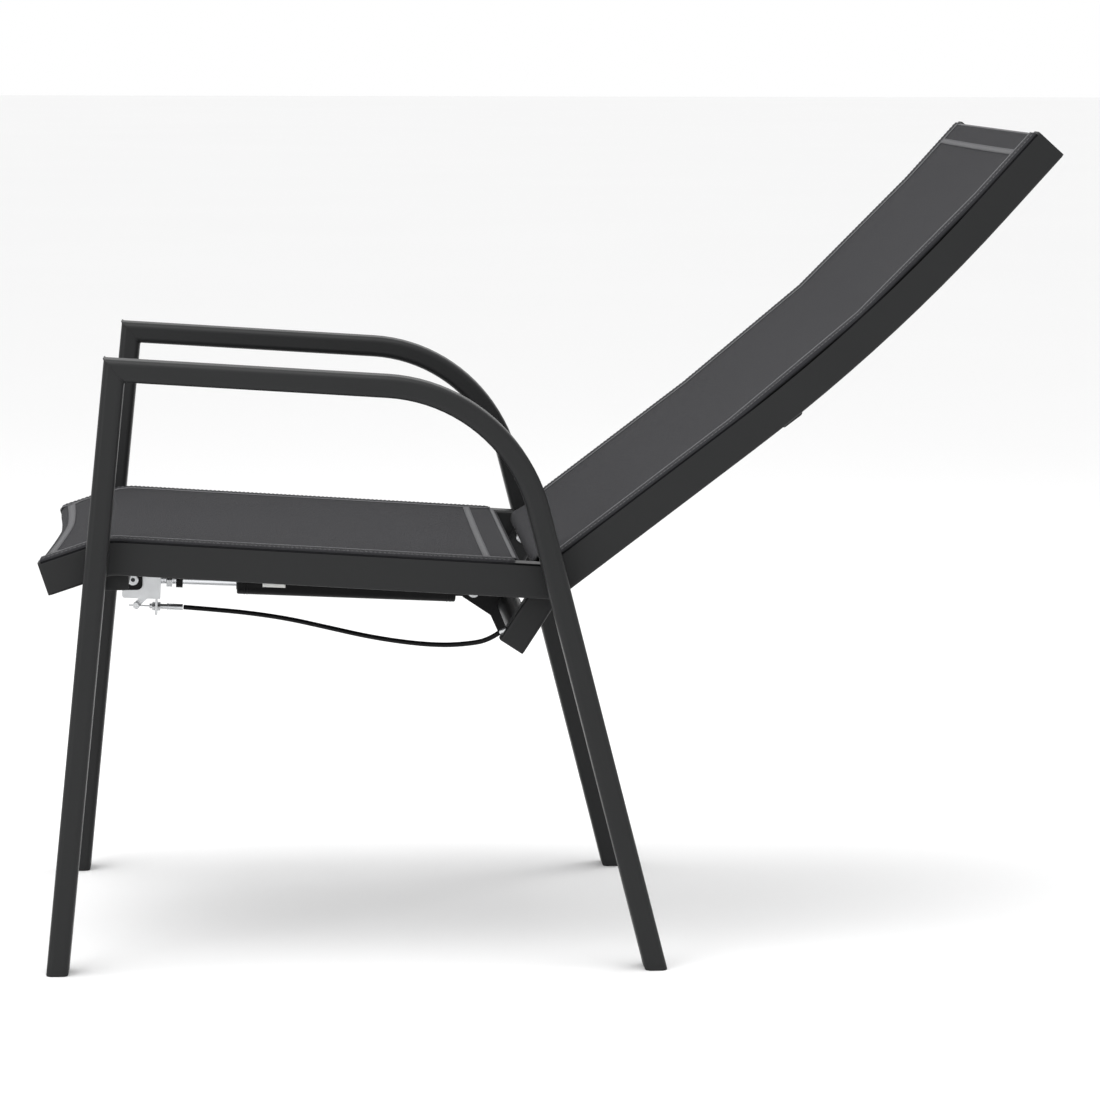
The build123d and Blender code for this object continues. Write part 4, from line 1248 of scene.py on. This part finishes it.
    def mechanism(self) -> None:
        """Threads on rod and adjuster, the ferrule's crimps, the cylinder's gland and its blank label."""
        adjuster, ferrule_radius, cylinder_radius = (-0.0285, 0.0055), 0.0031, 0.01295
        mesh = bmesh.new()
        self.thread(mesh, self.station(0.0296), 0.0049, 0.0015, 10.0, 0.0006)
        for along, turns in ((0.0183, 3.2), (0.0299, 8.0)):
            self.thread(mesh, self.station(along, *adjuster), 0.00255, 0.0008, turns, 0.0003)
        for along, bead in ((0.0405, 0.00035), (0.0430, 0.00035), (0.0455, 0.00035), (0.0372, 0.0006)):
            self.ring(mesh, self.station(along, *adjuster), ferrule_radius, bead)
        bmesh.ops.recalc_face_normals(mesh, faces=mesh.faces[:])
        self.shop.piece(mesh, "strut_threads", "zinc_steel", Body.STRUT)

        mesh = bmesh.new()
        self.ring(mesh, self.station(0.1095), 0.0075, 0.0012)
        for along in (0.1170, 0.1200, 0.3310, 0.3345):
            self.ring(mesh, self.station(along), cylinder_radius, 0.0005)
        bmesh.ops.recalc_face_normals(mesh, faces=mesh.faces[:])
        self.shop.piece(mesh, "cylinder_beads", "cylinder_enamel", Body.CYLINDER)

        label_start, label_length, label_radius, first_turn, sweep = 0.136, 0.024, 0.01312, -14.0, 44.0
        mesh = bmesh.new()
        bmesh.ops.create_grid(mesh, x_segments=12, y_segments=10, size=1.0)
        for vertex in mesh.verts:
            spread = math.radians(first_turn + sweep * (vertex.co.y + 1) / 2)
            place = self.station(label_start + label_length * (vertex.co.x + 1) / 2)
            vertex.co = place @ Vector((label_radius * math.sin(spread), label_radius * math.cos(spread), 0.0))
        middle = self.station(label_start + label_length / 2).translation
        mesh.normal_update()
        inward = [face for face in mesh.faces if face.normal.dot(face.calc_center_median() - middle) < 0]
        bmesh.ops.reverse_faces(mesh, faces=inward)
        made = self.shop.piece(mesh, "cylinder_label", "label", Body.CYLINDER, "cylinder_enamel")
        solid = made.modifiers.new("thickness", "SOLIDIFY")
        solid.thickness, solid.offset = 0.0001, 1.0

    def painted_socket_shade(self) -> None:
        """Dark hexagons on the hinge bolts' heads and the bracket's bolt head: painted shade for their recessed
        hex sockets.
        """
        mesh = bmesh.new()
        spots = [((HINGE.x, side * 0.20365, HINGE.z), -side) for side in (-1.0, 1.0)]
        spots.append(((self.front.x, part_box("spring_bolt")[0].y + 0.0001, self.front.z), -1.0))
        for place, side in spots:
            turn = Matrix.Rotation(-side * math.pi / 2, 4, "X")
            at = Matrix.Translation(place) @ turn
            bmesh.ops.create_cone(
                mesh, cap_ends=True, segments=6, radius1=0.0026, radius2=0.0024, depth=0.0003,
                matrix=at,
            )
        # The dark welt_plastic finish on these zinc steel heads is painted shade, in place of the shadow inside
        # each recessed socket.
        self.shop.piece(mesh, "bolt_socket_painted_shade", "welt_plastic", Body.FRAME, "zinc_steel", smooth=False)


# Studio


@dataclass
class Studio:
    """The floor, the lights and the camera."""

    shop: Workshop
    eye: tuple[float, float, float] = (-0.284, -4.669, 0.936)
    yaw: float = 3.673
    pitch: float = 6.651
    roll: float = 0.169
    lens: float = 145.54

    def floor(self) -> None:
        """A plain pale floor."""
        mesh = bmesh.new()
        bmesh.ops.create_grid(mesh, x_segments=1, y_segments=1, size=60.0)
        data = bpy.data.meshes.new("floor")
        mesh.to_mesh(data)
        mesh.free()
        made = bpy.data.objects.new("floor", data)
        bpy.context.scene.collection.objects.link(made)
        data.materials.append(self.shop.materials["floor"])

    def lamp(self, name: str, place: tuple[float, float, float], size: float, power: float) -> None:
        """One soft square lamp that faces the chair.

        Args:
            name: The lamp's name.
            place: Where it hangs.
            size: Its side in metres.
            power: Its power in watts.
        """
        data = bpy.data.lights.new(name, "AREA")
        data.shape, data.size, data.energy = "SQUARE", size, power
        made = bpy.data.objects.new(name, data)
        made.location = place
        made.rotation_euler = (Vector((0.0, 0.0, 0.4)) - Vector(place)).to_track_quat("-Z", "Y").to_euler()
        bpy.context.scene.collection.objects.link(made)

    def light(self) -> None:
        """A white surround and three soft lamps."""
        world = bpy.data.worlds.new("studio")
        world.use_nodes = True
        shade = world.node_tree.nodes["Background"]
        shade.inputs[0].default_value = (1.0, 1.0, 1.0, 1.0)
        shade.inputs[1].default_value = 1.0
        bpy.context.scene.world = world
        bpy.context.scene.view_settings.view_transform = "Standard"
        self.lamp("overhead", (-0.6, -0.8, 3.2), 2.5, 60.0)
        self.lamp("front_fill", (-2.2, -3.2, 1.6), 2.0, 30.0)
        self.lamp("rear_rim", (2.2, 2.0, 2.4), 1.6, 20.0)

    def camera(self) -> None:
        """The camera, near level with the seat and a little above it."""
        yaw, pitch = math.radians(self.yaw), math.radians(self.pitch)
        way = Vector((math.sin(yaw) * math.cos(pitch), math.cos(yaw) * math.cos(pitch), -math.sin(pitch)))
        data = bpy.data.cameras.new("camera")
        data.sensor_width, data.lens = 36.0, self.lens
        data.clip_start, data.clip_end = 0.1, 200.0
        made = bpy.data.objects.new("camera", data)
        made.location = self.eye
        turn = way.to_track_quat("-Z", "Y").to_matrix() @ Matrix.Rotation(math.radians(self.roll), 3, "Z")
        made.rotation_euler = turn.to_euler()
        bpy.context.scene.collection.objects.link(made)
        bpy.context.scene.camera = made


def main() -> None:
    """Build everything in order."""
    logging.basicConfig(level=logging.INFO, format="%(name)s %(message)s")
    shop = Workshop()
    shop.dress_nodes()
    upholstery = Upholstery(shop)
    upholstery.seat()
    upholstery.back()
    Cable(shop).build()
    metalwork = Metalwork(shop)
    metalwork.frame_welds()
    metalwork.back_welds()
    metalwork.mechanism()
    metalwork.painted_socket_shade()
    studio = Studio(shop)
    studio.floor()
    studio.light()
    studio.camera()
    bpy.context.view_layer.update()


if __name__ == "__main__":
    main()
